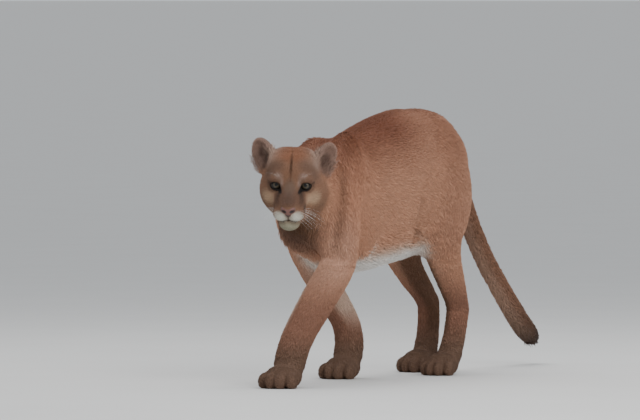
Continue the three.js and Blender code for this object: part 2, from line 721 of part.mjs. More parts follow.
// The eyeballs and the pad of the nose, and the room that each needs
const EYE_TURNS = 16;
const EYE_RINGS = 10;
function eyeball(side, radius) {
  const ball = new THREE.SphereGeometry(radius, EYE_TURNS, EYE_RINGS);
  const centre = fromHead(0, (side * EYE_SPACING) / 2, 0);
  return solidOf(ball.translate(centre.x, centre.y, centre.z));
}
const noseLow = [-745, -150, 410];
const noseHigh = [-670, -50, 490];
const nosePad = largest(drawn(onHead(nose), noseLow, noseHigh, NOSE_GRID));
const noseRoom = largest(drawn(onHead((p) => noseShape(p) - NOSE_GAP), noseLow, noseHigh, NOSE_GRID));
let taken = noseRoom.add(eyeball(LEFT, EYE_RADIUS + CUT_GAP)).add(eyeball(RIGHT, EYE_RADIUS + CUT_GAP));
cougar.add(node("nose", nosePad, "nose"));
cougar.add(node("left_eye", eyeball(LEFT, EYE_RADIUS), "eye"));
cougar.add(node("right_eye", eyeball(RIGHT, EYE_RADIUS), "eye"));

// The mesh of one region: when it touches itself it is drawn again on a slightly other grid.
function parted(place) {
  for (const share of [1, 0.97, 1.03, 0.94, 1.06, 0.9]) {
    const grid = place.grid * share;
    const low = place.low.map((v) => v - grid * 2);
    const high = place.high.map((v) => v + grid * 2);
    const solid = drawn(body, low, high, grid).intersect(cell(place, -CUT_GAP / 2)).subtract(taken);
    const mesh = node(place.name, largest(solid), place.finish);
    if (mesh) return mesh;
  }
  throw new Error(`${place.name} touches itself`);
}
for (const place of regions) {
  cougar.add(parted(place));
  taken = taken.add(cell(place, CUT_GAP / 2));
}

// The origin goes to the middle of the foot of the box that holds the animal.
const hold = new THREE.Box3().setFromObject(cougar);
const middle = hold.getCenter(new THREE.Vector3());
cougar.position.set(-middle.x, -middle.y, -hold.min.z);
cougar.updateMatrixWorld(true);
export default cougar;
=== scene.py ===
"""The looks of a life-size cougar in mid-stride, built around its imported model.

The animal's form is one smooth field of limbs and muscles, the same as in the part's source. Here it
gives one skin without a seam, drawn finely on the head, and a coat of solid tufts that lie over it. The
eyes, the pad of the nose and the whiskers are pieces of their own.

Shapes are worked out in millimetres in the animal's own frame: it faces -X, its left side is -Y and the
floor is z = 0. The head has a frame of its own: +x to the nose, +y to the animal's left and +z up, from
the midpoint of the eyes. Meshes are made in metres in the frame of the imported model.
"""

from __future__ import annotations

import logging
import math
import sys
from dataclasses import dataclass
from enum import Enum
from typing import Any, Callable, Sequence

import bpy
import numpy as np
from mathutils import Matrix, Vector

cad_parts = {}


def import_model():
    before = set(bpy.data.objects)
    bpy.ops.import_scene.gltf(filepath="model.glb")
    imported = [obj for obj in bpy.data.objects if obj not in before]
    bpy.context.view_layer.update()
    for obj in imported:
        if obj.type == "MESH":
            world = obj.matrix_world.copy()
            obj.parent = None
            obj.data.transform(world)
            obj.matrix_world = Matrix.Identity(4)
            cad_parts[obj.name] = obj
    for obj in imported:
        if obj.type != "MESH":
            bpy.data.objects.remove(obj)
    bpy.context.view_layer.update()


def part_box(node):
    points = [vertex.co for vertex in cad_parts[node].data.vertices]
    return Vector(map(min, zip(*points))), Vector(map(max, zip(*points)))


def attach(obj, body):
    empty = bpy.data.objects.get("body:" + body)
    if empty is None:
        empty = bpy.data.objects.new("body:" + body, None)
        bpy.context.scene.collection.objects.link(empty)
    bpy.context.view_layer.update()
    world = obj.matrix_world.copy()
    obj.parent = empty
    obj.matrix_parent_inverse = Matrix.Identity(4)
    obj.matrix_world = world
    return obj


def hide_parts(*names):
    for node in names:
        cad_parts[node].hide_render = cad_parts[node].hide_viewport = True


log = logging.getLogger("cougar")

LEFT = 1
RIGHT = -1
BODY = "root"
MM_PER_METRE = 1000.0
# The skin and the tufts stay this far above the floor, in millimetres.
FLOOR_GAP = 0.6


def ramp(value: np.ndarray, start: float, end: float) -> np.ndarray:
    """A smooth rise from 0 at start to 1 at end.

    Args:
        value: the numbers to place between the two.
        start: where the rise begins.
        end: where it is done, which may be less than start.

    Returns:
        The height of the rise at each value.
    """
    t = np.clip((value - start) / (end - start), 0.0, 1.0)
    return t * t * (3.0 - 2.0 * t)


def unit(vectors: np.ndarray) -> np.ndarray:
    """The same vectors at a length of one."""
    return vectors / np.maximum(np.linalg.norm(vectors, axis=-1, keepdims=True), 1e-9)


def lean(a: np.ndarray, b: np.ndarray, share: np.ndarray | float) -> np.ndarray:
    """A blend of two rows of vectors or colours.

    Args:
        a: what shows where share is 0.
        b: what shows where share is 1.
        share: one number for each row.

    Returns:
        The blended rows.
    """
    amount = np.asarray(share, float)
    return a + (b - a) * (amount[..., None] if amount.ndim else amount)


def about(axis: int, degrees: float) -> np.ndarray:
    """The matrix of a turn about one axis.

    Args:
        axis: 0 for X, 1 for Y, 2 for Z.
        degrees: how far it turns.

    Returns:
        The 3 by 3 matrix.
    """
    c, s = math.cos(math.radians(degrees)), math.sin(math.radians(degrees))
    i, j = (axis + 1) % 3, (axis + 2) % 3
    turn = np.eye(3)
    turn[i, i] = turn[j, j] = c
    turn[i, j] = -s
    turn[j, i] = s
    return turn


def smooth_min(a: np.ndarray, b: np.ndarray, k: float) -> np.ndarray:
    """The least of two distances, rounded over the width k."""
    h = np.maximum(k - np.abs(a - b), 0.0) / k
    return np.minimum(a, b) - h * h * k * 0.25


def smooth_max(a: np.ndarray, b: np.ndarray, k: float) -> np.ndarray:
    """The greatest of two distances, rounded over the width k."""
    return -smooth_min(-a, -b, k)


def oval_distance(places: np.ndarray, radii: np.ndarray) -> np.ndarray:
    """The near distance to an oval.

    Args:
        places: each point in the oval's own axes.
        radii: its half sizes, one row for all points or one for each.

    Returns:
        The distances, less than nothing inside.
    """
    shares = places / radii
    k0 = np.linalg.norm(shares, axis=1)
    k1 = np.linalg.norm(shares / radii, axis=1)
    return np.where(k1 > 1e-9, k0 * (k0 - 1.0) / np.maximum(k1, 1e-9), -np.min(radii))


class Shape:
    """A rounded form given by its distance field, bounded by a ball."""

    def __init__(self, centre: Sequence[float] = (0, 0, 0), reach: float = math.inf) -> None:
        """Notes the ball that holds the form.

        Args:
            centre: the middle of the ball.
            reach: its radius.
        """
        self.centre = np.array(centre, float)
        self.reach = reach

    def distance(self, points: np.ndarray) -> np.ndarray:
        """How far each point lies from the form."""
        raise NotImplementedError

    def near(self, points: np.ndarray, within: np.ndarray) -> np.ndarray:
        """Which points may come within a distance of the form.

        Args:
            points: the points.
            within: the distance that matters at each point.

        Returns:
            True for each point that is near enough.
        """
        if math.isinf(self.reach):
            return np.ones(len(points), bool)
        return np.linalg.norm(points - self.centre, axis=1) - self.reach <= within

    def slope(self, points: np.ndarray, step: float = 0.4) -> tuple[np.ndarray, np.ndarray]:
        """The distance at each point, and the way it grows.

        Args:
            points: the points.
            step: how far apart the field is compared.

        Returns:
            The distances and the slopes.
        """
        here = self.distance(points)
        parts = [self.distance(points + step * axis) - here for axis in np.eye(3)]
        return here, np.stack(parts, 1) / step


class Limb(Shape):
    """A tube of oval section through stations (x, y, z, side, over, under)."""

    STEPS = 5

    def __init__(self, *stations: Sequence[float]) -> None:
        """Fills in the stations smoothly and gives each its axes.

        Args:
            stations: the places along the limb with their half sizes.
        """
        rows = np.array([(*s[:5], s[5] if len(s) > 5 else s[4]) for s in stations], float)
        line = self._filled(rows)
        self.points = line[:, :3]
        self.radii = line[:, 3:]
        low, high = self.points.min(0), self.points.max(0)
        super().__init__((low + high) / 2, float(np.linalg.norm(high - low) / 2 + self.radii.max()))
        count = np.arange(len(line))
        before, after = np.maximum(count - 1, 0), np.minimum(count + 1, len(line) - 1)
        along = unit(self.points[after] - self.points[before])
        over = unit(np.cross(along, (0, 1, 0)))
        self.axes = np.stack([along, over, np.cross(over, along)], 1)

    def _filled(self, rows: np.ndarray) -> np.ndarray:
        """The rows with smooth ones between them.

        Args:
            rows: the stations, each with its place and half sizes.

        Returns:
            The rows of the finer line.
        """
        last = len(rows) - 1
        filled = []
        for i in range(last):
            a, b, c, d = (rows[min(max(i + n, 0), last)] for n in (-1, 0, 1, 2))
            for s in range(self.STEPS):
                t = s / self.STEPS
                bend = (2 * a - 5 * b + 4 * c - d) * t * t + (3 * b - a - 3 * c + d) * t**3
                filled.append(0.5 * (2 * b + (c - a) * t + bend))
        return np.array([*filled, rows[last]])

    def nearest(self, points: np.ndarray) -> tuple[np.ndarray, np.ndarray]:
        """The place on the limb's line that is nearest to each point.

        Args:
            points: the points.

        Returns:
            The number of the stretch, and the share of it that is passed.
        """
        line = self.points
        gaps = (line**2).sum(1) - 2.0 * points @ line.T
        first = gaps.argmin(1)
        best = np.full(len(points), np.inf)
        at = np.zeros(len(points), int)
        share = np.zeros(len(points))
        for back in (1, 0):
            i = np.clip(first - back, 0, len(line) - 2)
            axis = line[i + 1] - line[i]
            d = points - line[i]
            t = np.clip((d * axis).sum(1) / (axis * axis).sum(1), 0, 1)
            far = ((d - axis * t[:, None]) ** 2).sum(1)
            closer = far < best
            best = np.where(closer, far, best)
            at = np.where(closer, i, at)
            share = np.where(closer, t, share)
        return at, share

    def distance(self, points: np.ndarray) -> np.ndarray:
        """How far each point lies from the tube.

        Args:
            points: the points.

        Returns:
            The distances, less than nothing inside.
        """
        at, share = self.nearest(points)
        s = share[:, None]
        middle = self.points[at] * (1 - s) + self.points[at + 1] * s
        axes = unit(self.axes[at] * (1 - s[:, :, None]) + self.axes[at + 1] * s[:, :, None])
        radii = self.radii[at] * (1 - s) + self.radii[at + 1] * s
        along, over, side = np.einsum("nij,nj->in", axes, points - middle)
        r_side = radii[:, 0]
        r_over = np.where(over > 0, radii[:, 1], radii[:, 2])
        r_along = np.minimum(r_side, (radii[:, 1] + radii[:, 2]) / 2)
        return oval_distance(np.stack([side, over, along], 1), np.stack([r_side, r_over, r_along], 1))

    def along(self, points: np.ndarray) -> np.ndarray:
        """The way the limb runs beside each point."""
        at, share = self.nearest(points)
        return unit(lean(self.axes[at, 0], self.axes[at + 1, 0], share))

    def passed(self, points: np.ndarray) -> np.ndarray:
        """How far along the limb each point lies, from 0 to 1."""
        at, share = self.nearest(points)
        return (at + share) / (len(self.points) - 1)


class Blob(Shape):
    """A muscle: an oval with half sizes along its own turned axes."""

    def __init__(
        self, at: Sequence[float], sizes: Sequence[float], turns: Sequence[float] = (0, 0, 0)
    ) -> None:
        """Places the oval.

        Args:
            at: its centre.
            sizes: its half sizes.
            turns: its turns about X, Y and Z in degrees.
        """
        super().__init__(at, max(sizes))
        self.sizes = np.array(sizes, float)
        self.turn = about(0, turns[0]) @ about(1, turns[1]) @ about(2, turns[2])

    def distance(self, points: np.ndarray) -> np.ndarray:
        """How far each point lies from the oval."""
        return oval_distance((points - self.centre) @ self.turn, self.sizes)


class Joined(Shape):
    """Shapes joined in order, each with the width over which it blends in."""

    def __init__(
        self,
        entries: Sequence[tuple[Shape, float]],
        centre: Sequence[float] = (0, 0, 0),
        reach: float = math.inf,
    ) -> None:
        """Keeps the shapes.

        Args:
            entries: each shape with its blend.
            centre: the middle of the ball that holds them all.
            reach: the radius of that ball.
        """
        super().__init__(centre, reach)
        self.entries = list(entries)

    def distance(self, points: np.ndarray) -> np.ndarray:
        """How far each point lies from the joined form.

        Args:
            points: the points.

        Returns:
            The distances, less than nothing inside.
        """
        total = np.full(len(points), 1e6)
        for shape, blend in self.entries:
            near = shape.near(points, total + blend + 5)
            if near.any():
                total[near] = smooth_min(total[near], shape.distance(points[near]), blend)
        return total


class Turned(Shape):
    """A shape of the head's frame, seen from the body's."""

    def __init__(self, shape: Shape, at: Sequence[float], turn: np.ndarray, reach: float) -> None:
        """Places the shape.

        Args:
            shape: the shape in its own frame.
            at: where that frame's origin lies.
            turn: the matrix of its axes.
            reach: how far it reaches from there.
        """
        super().__init__(at, reach)
        self.shape = shape
        self.turn = turn

    def local(self, points: np.ndarray) -> np.ndarray:
        """Points in the shape's own frame."""
        return (points - self.centre) @ self.turn

    def placed(self, points: np.ndarray) -> np.ndarray:
        """Points of the shape's own frame in the body's."""
        return points @ self.turn.T + self.centre

    def distance(self, points: np.ndarray) -> np.ndarray:
        """How far each point lies from the shape."""
        return self.shape.distance(self.local(points))


def pair(
    at: Sequence[float], sizes: Sequence[float], turns: Sequence[float], blend: float
) -> list[tuple[Shape, float]]:
    """The same oval on both sides of the head.

    Args:
        at: its centre on the left.
        sizes: its half sizes.
        turns: its turns on the left in degrees.
        blend: the width over which it blends in.

    Returns:
        The two entries.
    """
    return [
        (Blob((at[0], s * at[1], at[2]), sizes, (s * turns[0], turns[1], s * turns[2])), blend)
        for s in (LEFT, RIGHT)
    ]


class Ear(Shape):
    """One ear: a rounded cup, hollow in front."""

    UP = {LEFT: (-27, 27, 52), RIGHT: (-27, -27, 52)}
    OPEN = {LEFT: (0.8, 0.75, 0.1), RIGHT: (0.8, -0.45, 0.1)}
    FOOT = {LEFT: (-58, 64, 25), RIGHT: (-58, -62, 33)}

    def __init__(self, side: int) -> None:
        """Stands the ear on its side of the head.

        Args:
            side: LEFT or RIGHT.
        """
        super().__init__(self.FOOT[side], 70)
        up = unit(np.array(self.UP[side], float))
        opening = np.array(self.OPEN[side], float)
        opening = unit(opening - up * (opening @ up))
        self.axes = np.stack([opening, np.cross(up, opening), up], 1)
        self.shell = Blob((0, 0, 16), (20, 33, 54))
        self.hollow = Blob((16, 0, 22), (20, 25.5, 40))

    def local(self, points: np.ndarray) -> np.ndarray:
        """Points in the ear's frame: +x the way it opens, +z to its tip."""
        return (points - self.centre) @ self.axes

    def distance(self, points: np.ndarray) -> np.ndarray:
        """How far each point lies from the cup."""
        q = self.local(points)
        return smooth_max(self.shell.distance(q), -self.hollow.distance(q), 4)


@dataclass
class EyeSet:
    """Where the eyes sit and how their lids open, in the head's frame."""

    radius: float = 16.0
    spacing: float = 71.0
    outward: float = 6.0
    slant: float = 10.0
    lid_radius: float = 14.2
    upper_drop: float = 4.3
    lower_rise: float = 5.6
    seat: float = 13.0

    def centre(self, side: int) -> np.ndarray:
        """The middle of one eyeball."""
        return np.array([0, side * self.spacing / 2, 0])

    def turn(self, side: int) -> np.ndarray:
        """The axes of one eye's lids."""
        return about(2, side * self.outward) @ about(0, side * self.slant)

    def local(self, points: np.ndarray, side: int) -> np.ndarray:
        """Points in the frame of one eye's lids: +x outwards, +y to the animal's left."""
        return (points - self.centre(side)) @ self.turn(side)

    def almond(self, points: np.ndarray, side: int) -> np.ndarray:
        """How far each point lies outside the opening between the lids, seen from the front.

        Args:
            points: points of the head's frame.
            side: LEFT or RIGHT.

        Returns:
            The distances, less than nothing between the lids.
        """
        q = self.local(points, side)
        upper = np.hypot(q[:, 1], q[:, 2] + self.upper_drop) - self.lid_radius
        lower = np.hypot(q[:, 1], q[:, 2] - self.lower_rise) - self.lid_radius
        inner = np.stack([q[:, 1] * side + 14.0, q[:, 2] + 4.2], 1)
        corner = np.hypot(inner[:, 0] * 0.55, inner[:, 1]) - 1.7
        return smooth_min(smooth_max(upper, lower, 1.5), corner, 3.0)

    def opening(self, points: np.ndarray, side: int) -> np.ndarray:
        """The room that is cut between the lids, down to a seat inside the eyeball.

        Args:
            points: points of the head's frame.
            side: LEFT or RIGHT.

        Returns:
            The distance to that room.
        """
        q = self.local(points, side)
        room = smooth_max(self.almond(points, side), 2.0 - q[:, 0], 1.0)
        return smooth_max(room, self.seat - np.linalg.norm(q, axis=1), 1.0)


class Part(Enum):
    """The lengths of the body, each with fur that lies its own way."""

    TRUNK = 0
    NECK = 1
    TAIL = 2
    LEFT_FORE = 3
    RIGHT_FORE = 4
    LEFT_HIND = 5
    RIGHT_HIND = 6
    HEAD = 7
    LEFT_EAR = 8
    RIGHT_EAR = 9


class Animal:
    """The whole animal as one smooth field in its own frame, in millimetres."""

    HEAD_AT = (-620.0, -52.0, 491.0)
    HEAD_TURN = 25.0
    HEAD_NOD = 16.0
    HEAD_TILT = -1.5
    MOUTH_GAP = 1.8
    MOUTH_DEPTH = 4.5
    HEAD_BALL = 185.0
    FACE_REACH = 150.0
    LEG_BLEND = 46.0
    PAW_BLEND = 14.0

    def __init__(self) -> None:
        """Builds the limbs, the head and the field that joins them."""
        self.eyes = EyeSet()
        self.ears = {side: Ear(side) for side in (LEFT, RIGHT)}
        self.trunk = Limb(
            (-452, -4, 452, 60, 84, 92),
            (-400, 0, 446, 86, 126, 140),
            (-320, 0, 442, 104, 150, 170),
            (-220, 0, 444, 114, 178, 174),
            (-100, 0, 452, 117, 200, 168),
            (20, 0, 468, 106, 204, 166),
            (112, 0, 490, 92, 183, 142),
            (186, 0, 503, 83, 158, 112),
            (222, 0, 505, 60, 127, 80),
        )
        self.neck = Limb(
            (-566, -28, 484, 60, 56, 74),
            (-510, -12, 480, 66, 62, 92),
            (-450, -2, 478, 76, 74, 110),
            (-390, 0, 474, 82, 90, 120),
        )
        self.tail = Limb(
            (196, 0, 566, 38, 36),
            (246, 0, 536, 30, 30),
            (292, 0, 486, 26, 27),
            (340, 0, 418, 25, 26),
            (394, 1, 345, 25, 26),
            (466, 3, 268, 25, 26),
            (550, 6, 196, 26, 26),
            (650, 14, 122, 27, 27),
            (724, 26, 84, 26, 26),
            (768, 36, 70, 18, 18),
        )
        self.left_fore = Limb(
            (-334, -48, 582, 26, 42),
            (-376, -70, 530, 33, 58),
            (-442, -84, 436, 46, 62),
            (-450, -88, 350, 45, 58, 50),
            (-456, -86, 290, 42, 50, 46),
            (-530, -78, 214, 43, 45, 43),
            (-600, -71, 142, 41, 38, 38),
            (-634, -68, 96, 40, 34, 36),
            (-652, -67, 58, 41, 30, 34),
        )
        self.right_fore = Limb(
            (-326, 46, 570, 26, 42),
            (-342, 68, 520, 33, 58),
            (-366, 82, 430, 44, 60),
            (-324, 84, 350, 42, 54, 50),
            (-288, 80, 290, 40, 46, 44),
            (-226, 70, 216, 38, 40, 38),
            (-168, 58, 146, 36, 32, 33),
            (-152, 54, 96, 37, 30, 32),
            (-158, 53, 58, 39, 29, 32),
        )
        self.left_hind = Limb(
            (168, -36, 558, 43, 80),
            (124, -60, 470, 50, 90, 86),
            (74, -78, 376, 48, 78, 66),
            (80, -80, 312, 43, 60, 46),
            (124, -78, 246, 36, 42, 38),
            (164, -75, 186, 29, 33, 30),
            (172, -73, 150, 28, 31, 28),
            (158, -72, 92, 29, 25, 25),
            (138, -71, 50, 33, 25, 26),
        )
        self.right_hind = Limb(
            (176, 36, 556, 43, 80),
            (178, 58, 466, 48, 88, 88),
            (132, 74, 376, 47, 74, 66),
            (140, 76, 314, 42, 58, 46),
            (194, 74, 252, 35, 42, 36),
            (260, 72, 196, 29, 32, 29),
            (280, 70, 160, 28, 30, 27),
            (276, 69, 98, 29, 25, 25),
            (262, 68, 52, 33, 25, 26),
        )
        bulges = [
            (Blob((-346, -84, 372), (58, 28, 72), (0, 24, 0)), 40),
            (Blob((-282, 82, 372), (54, 28, 68), (0, 34, 0)), 40),
            (Blob((116, -60, 424), (82, 40, 100), (0, -24, 0)), 60),
            (Blob((180, 60, 424), (80, 40, 98), (0, -14, 0)), 60),
            (Blob((-466, -52, 410), (42, 40, 64)), 50),
            (Blob((-424, 44, 398), (40, 38, 60)), 50),
            (Blob((186, -74, 168), (16, 14, 26), (0, 10, 0)), 16),
            (Blob((294, 71, 178), (16, 14, 26), (0, 14, 0)), 16),
        ]
        turn = about(2, 180 + self.HEAD_TURN) @ about(1, self.HEAD_NOD) @ about(0, self.HEAD_TILT)
        self.head = Turned(self._head(), self.HEAD_AT, turn, self.HEAD_BALL)
        legs = [self.left_fore, self.right_fore, self.left_hind, self.right_hind]
        self.limbs = [self.trunk, self.neck, self.tail, *legs]
        paws = [
            self._paw(-672, -66, 104, 100, 4),
            self._paw(-176, 53, 104, 96, 2),
            self._paw(112, -70, 100, 88, 3),
            self._paw(236, 67, 100, 88, 0),
        ]
        self.base = Joined([
            (self.trunk, 1),
            (self.neck, 60),
            *((leg, self.LEG_BLEND) for leg in legs),
            *bulges,
            (self.tail, 34),
            *((paw, self.PAW_BLEND) for paw in paws),
            (self.head, 30),
        ])

    def _paw(self, x: float, y: float, long: float, wide: float, heading: float) -> Joined:
        """A broad pad with four toes that point along -X.

        Args:
            x: the pad's place along the body.
            y: its place across.
            long: its length.
            wide: its width.
            heading: how far it is turned, in degrees.

        Returns:
            The joined paw.
        """
        c, s = math.cos(math.radians(heading)), math.sin(math.radians(heading))

        def place(ahead: float, across: float, z: float) -> tuple[float, float, float]:
            """A place on the paw in the body's frame."""
            return (x - ahead * c - across * s, y - ahead * s + across * c, z)

        toes = []
        for rank in (-1.5, -0.5, 0.5, 1.5):
            reach = long * (0.36 if abs(rank) > 1 else 0.5)
            sizes = (long * 0.24, wide * 0.145, 22)
            toes.append((Blob(place(reach, rank * wide * 0.235, 17), sizes, (0, 0, heading - rank * 6)), 9))
        pad = Blob(place(long * 0.05, 0, 24), (long * 0.46, wide * 0.42, 30), (0, -10, heading))
        knuckles = Blob(place(long * 0.22, 0, 34), (long * 0.28, wide * 0.38, 20), (0, -24, heading))
        return Joined([(pad, 1), (knuckles, 16), *toes], (x - long * 0.2, y, 30), 110)

    def _head(self) -> Joined:
        """The head with its cheeks, brows, muzzle, chin, eye bulges and ears.

        Returns:
            The joined head, in its own frame.
        """
        bridge = Limb((-6, 0, 6, 26, 18, 26), (34, 0, -7, 20, 15, 26), (78, 0, -28, 17, 12, 22))
        throat = Limb((40, 0, -84, 22, 14, 16), (-10, 0, -80, 38, 20, 22), (-60, 0, -62, 46, 30, 34))
        skull = Joined([
            (Blob((-66, 0, 12), (66, 56, 60)), 1),
            *pair((-60, 30, 34), (42, 30, 36), (0, 0, 0), 24),
            (Blob((-30, 0, 22), (48, 50, 36), (0, 16, 0)), 30),
            *pair((-34, 50, -20), (44, 28, 36), (0, 0, -14), 26),
            *pair((-56, 42, -44), (46, 30, 38), (0, 0, 0), 26),
            *pair((0, 34, 19), (19, 18, 8), (-14, 20, 24), 14),
            (bridge, 16),
            *pair((28, 22, -34), (34, 18, 22), (0, 20, -16), 18),
            (Blob((40, 0, -43), (42, 34, 29), (0, 12, 0)), 16),
            *pair((60, 17.5, -53), (26, 22, 18.5), (0, 10, -12), 8),
            (Blob((55, 0, -80), (23, 20, 15), (0, 6, 0)), 9),
            (throat, 24),
        ])
        r = self.eyes.radius
        lids = pair((0, self.eyes.spacing / 2, 0), (r + 2.4, r + 3, r + 1.5), (0, 0, 0), 7)
        return Joined([(skull, 1), *lids, (self.ears[LEFT], 10), (self.ears[RIGHT], 10)])

    def above_mouth(self, q: np.ndarray) -> np.ndarray:
        """How far points of the head's frame lie above the line of the mouth.

        Args:
            q: the points.

        Returns:
            The heights, less than nothing under the line.
        """
        side = np.abs(q[:, 1])
        drop = np.where(side < 16, 4 * (side / 16) ** 2, 4 + (side - 16) * 0.05)
        return q[:, 2] - (-67 - drop + 0.14 * (84 - q[:, 0]))

    def weights(self, points: np.ndarray, soft: float = 9.0) -> np.ndarray:
        """How much each point belongs to each Part.

        Args:
            points: points on the skin.
            soft: how gently one Part passes into the next.

        Returns:
            One row for each point, with a share for each Part.
        """
        far = [limb.distance(points) for limb in self.limbs]
        local = self.head.local(points)
        ears = [self.ears[side].distance(local) for side in (LEFT, RIGHT)]
        skull = self.head.shape.distance(local)
        away = np.stack([*far, skull + 1.5, *ears], 1)
        shares = np.exp(-np.clip(away - away.min(1, keepdims=True), 0, 200) / soft)
        return shares / shares.sum(1, keepdims=True)


@dataclass(frozen=True)
class Fold:
    """A soft groove along a short line, in the animal's frame, darkened with painted shade."""

    start: tuple[float, float, float]
    end: tuple[float, float, float]
    wide: float
    deep: float
    shade: float

    def cover(self, points: np.ndarray) -> np.ndarray:
        """How much of the groove there is at each point, from 0 to 1.

        Args:
            points: the points.

        Returns:
            The shares.
        """
        a = np.array(self.start)
        line = np.array(self.end) - a
        t = np.clip((points - a) @ line / (line @ line), 0, 1)
        far = np.linalg.norm(points - a - t[:, None] * line, axis=1)
        return ramp(far, self.wide, 0) * ramp(np.abs(t - 0.5), 0.56, 0.3)


# Grooves in the skin; the coat along each is darkened with painted shade.
FOLDS = (
    Fold((-66, -120, 452), (-86, -105, 376), 36, 8, 0.35),
    Fold((-86, -105, 380), (-70, -84, 338), 30, 11, 0.6),
    Fold((-26, 116, 452), (-46, 102, 376), 36, 8, 0.35),
    Fold((-46, 102, 380), (-30, 84, 338), 30, 11, 0.6),
    Fold((-446, -96, 545), (-484, -118, 430), 24, 8, 0.5),
    Fold((-484, -118, 440), (-497, -104, 315), 24, 8, 0.5),
    Fold((-362, -88, 590), (-350, -90, 566), 12, 4, 0.7),
    Fold((-390, 86, 590), (-376, 90, 470), 26, 5, 0.3),
    Fold((-378, -112, 330), (-420, -104, 290), 22, 5, 0.4),
)


class Skin(Shape):
    """The skin under the coat: the animal's field moved inwards, with its eye openings, mouth and cleft."""

    DEPTH = {
        Part.TRUNK: 4.0, Part.NECK: 3.6, Part.TAIL: 4.6, Part.LEFT_FORE: 3.2, Part.RIGHT_FORE: 3.2,
        Part.LEFT_HIND: 3.2, Part.RIGHT_HIND: 3.2, Part.HEAD: 2.2, Part.LEFT_EAR: 1.2, Part.RIGHT_EAR: 1.2,
    }
    FACE_DEPTH = 1.0
    LID_DEPTH = 0.5
    FOOT_DEPTH = 2.0
    FOOT_TOP = 60.0
    FOOT_START = 280.0
    CUT_REACH = 190.0
    LID_ROUND = 1.2
    LIP_ROUND = 2.2
    LID_REACH = 30.0
    MOUTH_BACK = 20.0
    CLEFT_HALF = 0.7
    CLEFT_DEPTH = 2.6
    CLEFT_BACK = 62.0
    CLEFT_TOP = -44.0

    def __init__(self, animal: Animal) -> None:
        """Keeps the animal whose skin it is.

        Args:
            animal: the whole form.
        """
        super().__init__()
        self.animal = animal
        self.inset = np.zeros(0)

    def depth(self, points: np.ndarray) -> np.ndarray:
        """How deep under the coat the skin lies at each point.

        Args:
            points: points near the skin.

        Returns:
            The depths.
        """
        animal = self.animal
        shares = animal.weights(points)
        deep = shares @ np.array([self.DEPTH[part] for part in Part])
        legs = shares[:, Part.LEFT_FORE.value : Part.RIGHT_HIND.value + 1].sum(1)
        foot = legs * ramp(points[:, 2], self.FOOT_START, self.FOOT_TOP)
        deep = deep * (1 - foot) + self.FOOT_DEPTH * foot
        deep = np.minimum(deep, np.where(points[:, 2] < self.FOOT_TOP, self.FOOT_DEPTH, deep))
        q = animal.head.local(points)
        skull = shares[:, Part.HEAD.value]
        face = skull * ramp(q[:, 0], -50, 10)
        deep = deep * (1 - face) + self.FACE_DEPTH * face
        lids = np.minimum(*(np.linalg.norm(q - animal.eyes.centre(s), axis=1) for s in (LEFT, RIGHT)))
        near = ramp(lids, 26, 19)
        deep = deep * (1 - near) + self.LID_DEPTH * near
        return deep + sum(fold.deep * fold.cover(points) for fold in FOLDS)

    def distance(self, points: np.ndarray) -> np.ndarray:
        """How far each point lies from the skin, for the insets that are set.

        Args:
            points: the points.

        Returns:
            The distances.
        """
        animal = self.animal
        d = animal.base.distance(points) + self.inset
        q = animal.head.local(points)
        front = (np.linalg.norm(q, axis=1) < self.CUT_REACH) & (q[:, 0] > -20)
        if front.any():
            d[front] = self._carved(d[front], q[front])
        return d

    def _carved(self, d: np.ndarray, q: np.ndarray) -> np.ndarray:
        """Cuts the eye openings, the mouth and the cleft of the upper lip.

        Args:
            d: the distances so far.
            q: the points in the head's frame.

        Returns:
            The distances with the cuts.
        """
        animal = self.animal
        for side in (LEFT, RIGHT):
            near = np.linalg.norm(q - animal.eyes.centre(side), axis=1) < self.LID_REACH
            if near.any():
                d[near] = smooth_max(d[near], -animal.eyes.opening(q[near], side), self.LID_ROUND)
        above = animal.above_mouth(q)
        gap = animal.MOUTH_GAP / 2
        mouth = np.maximum.reduce([np.abs(above) - gap, -(d + animal.MOUTH_DEPTH), self.MOUTH_BACK - q[:, 0]])
        d = smooth_max(d, -mouth, self.LIP_ROUND)
        cleft = np.maximum.reduce([
            np.abs(q[:, 1]) - self.CLEFT_HALF,
            -(d + self.CLEFT_DEPTH),
            self.CLEFT_BACK - q[:, 0],
            q[:, 2] - self.CLEFT_TOP,
            -above,
        ])
        return smooth_max(d, -cleft, self.LIP_ROUND)


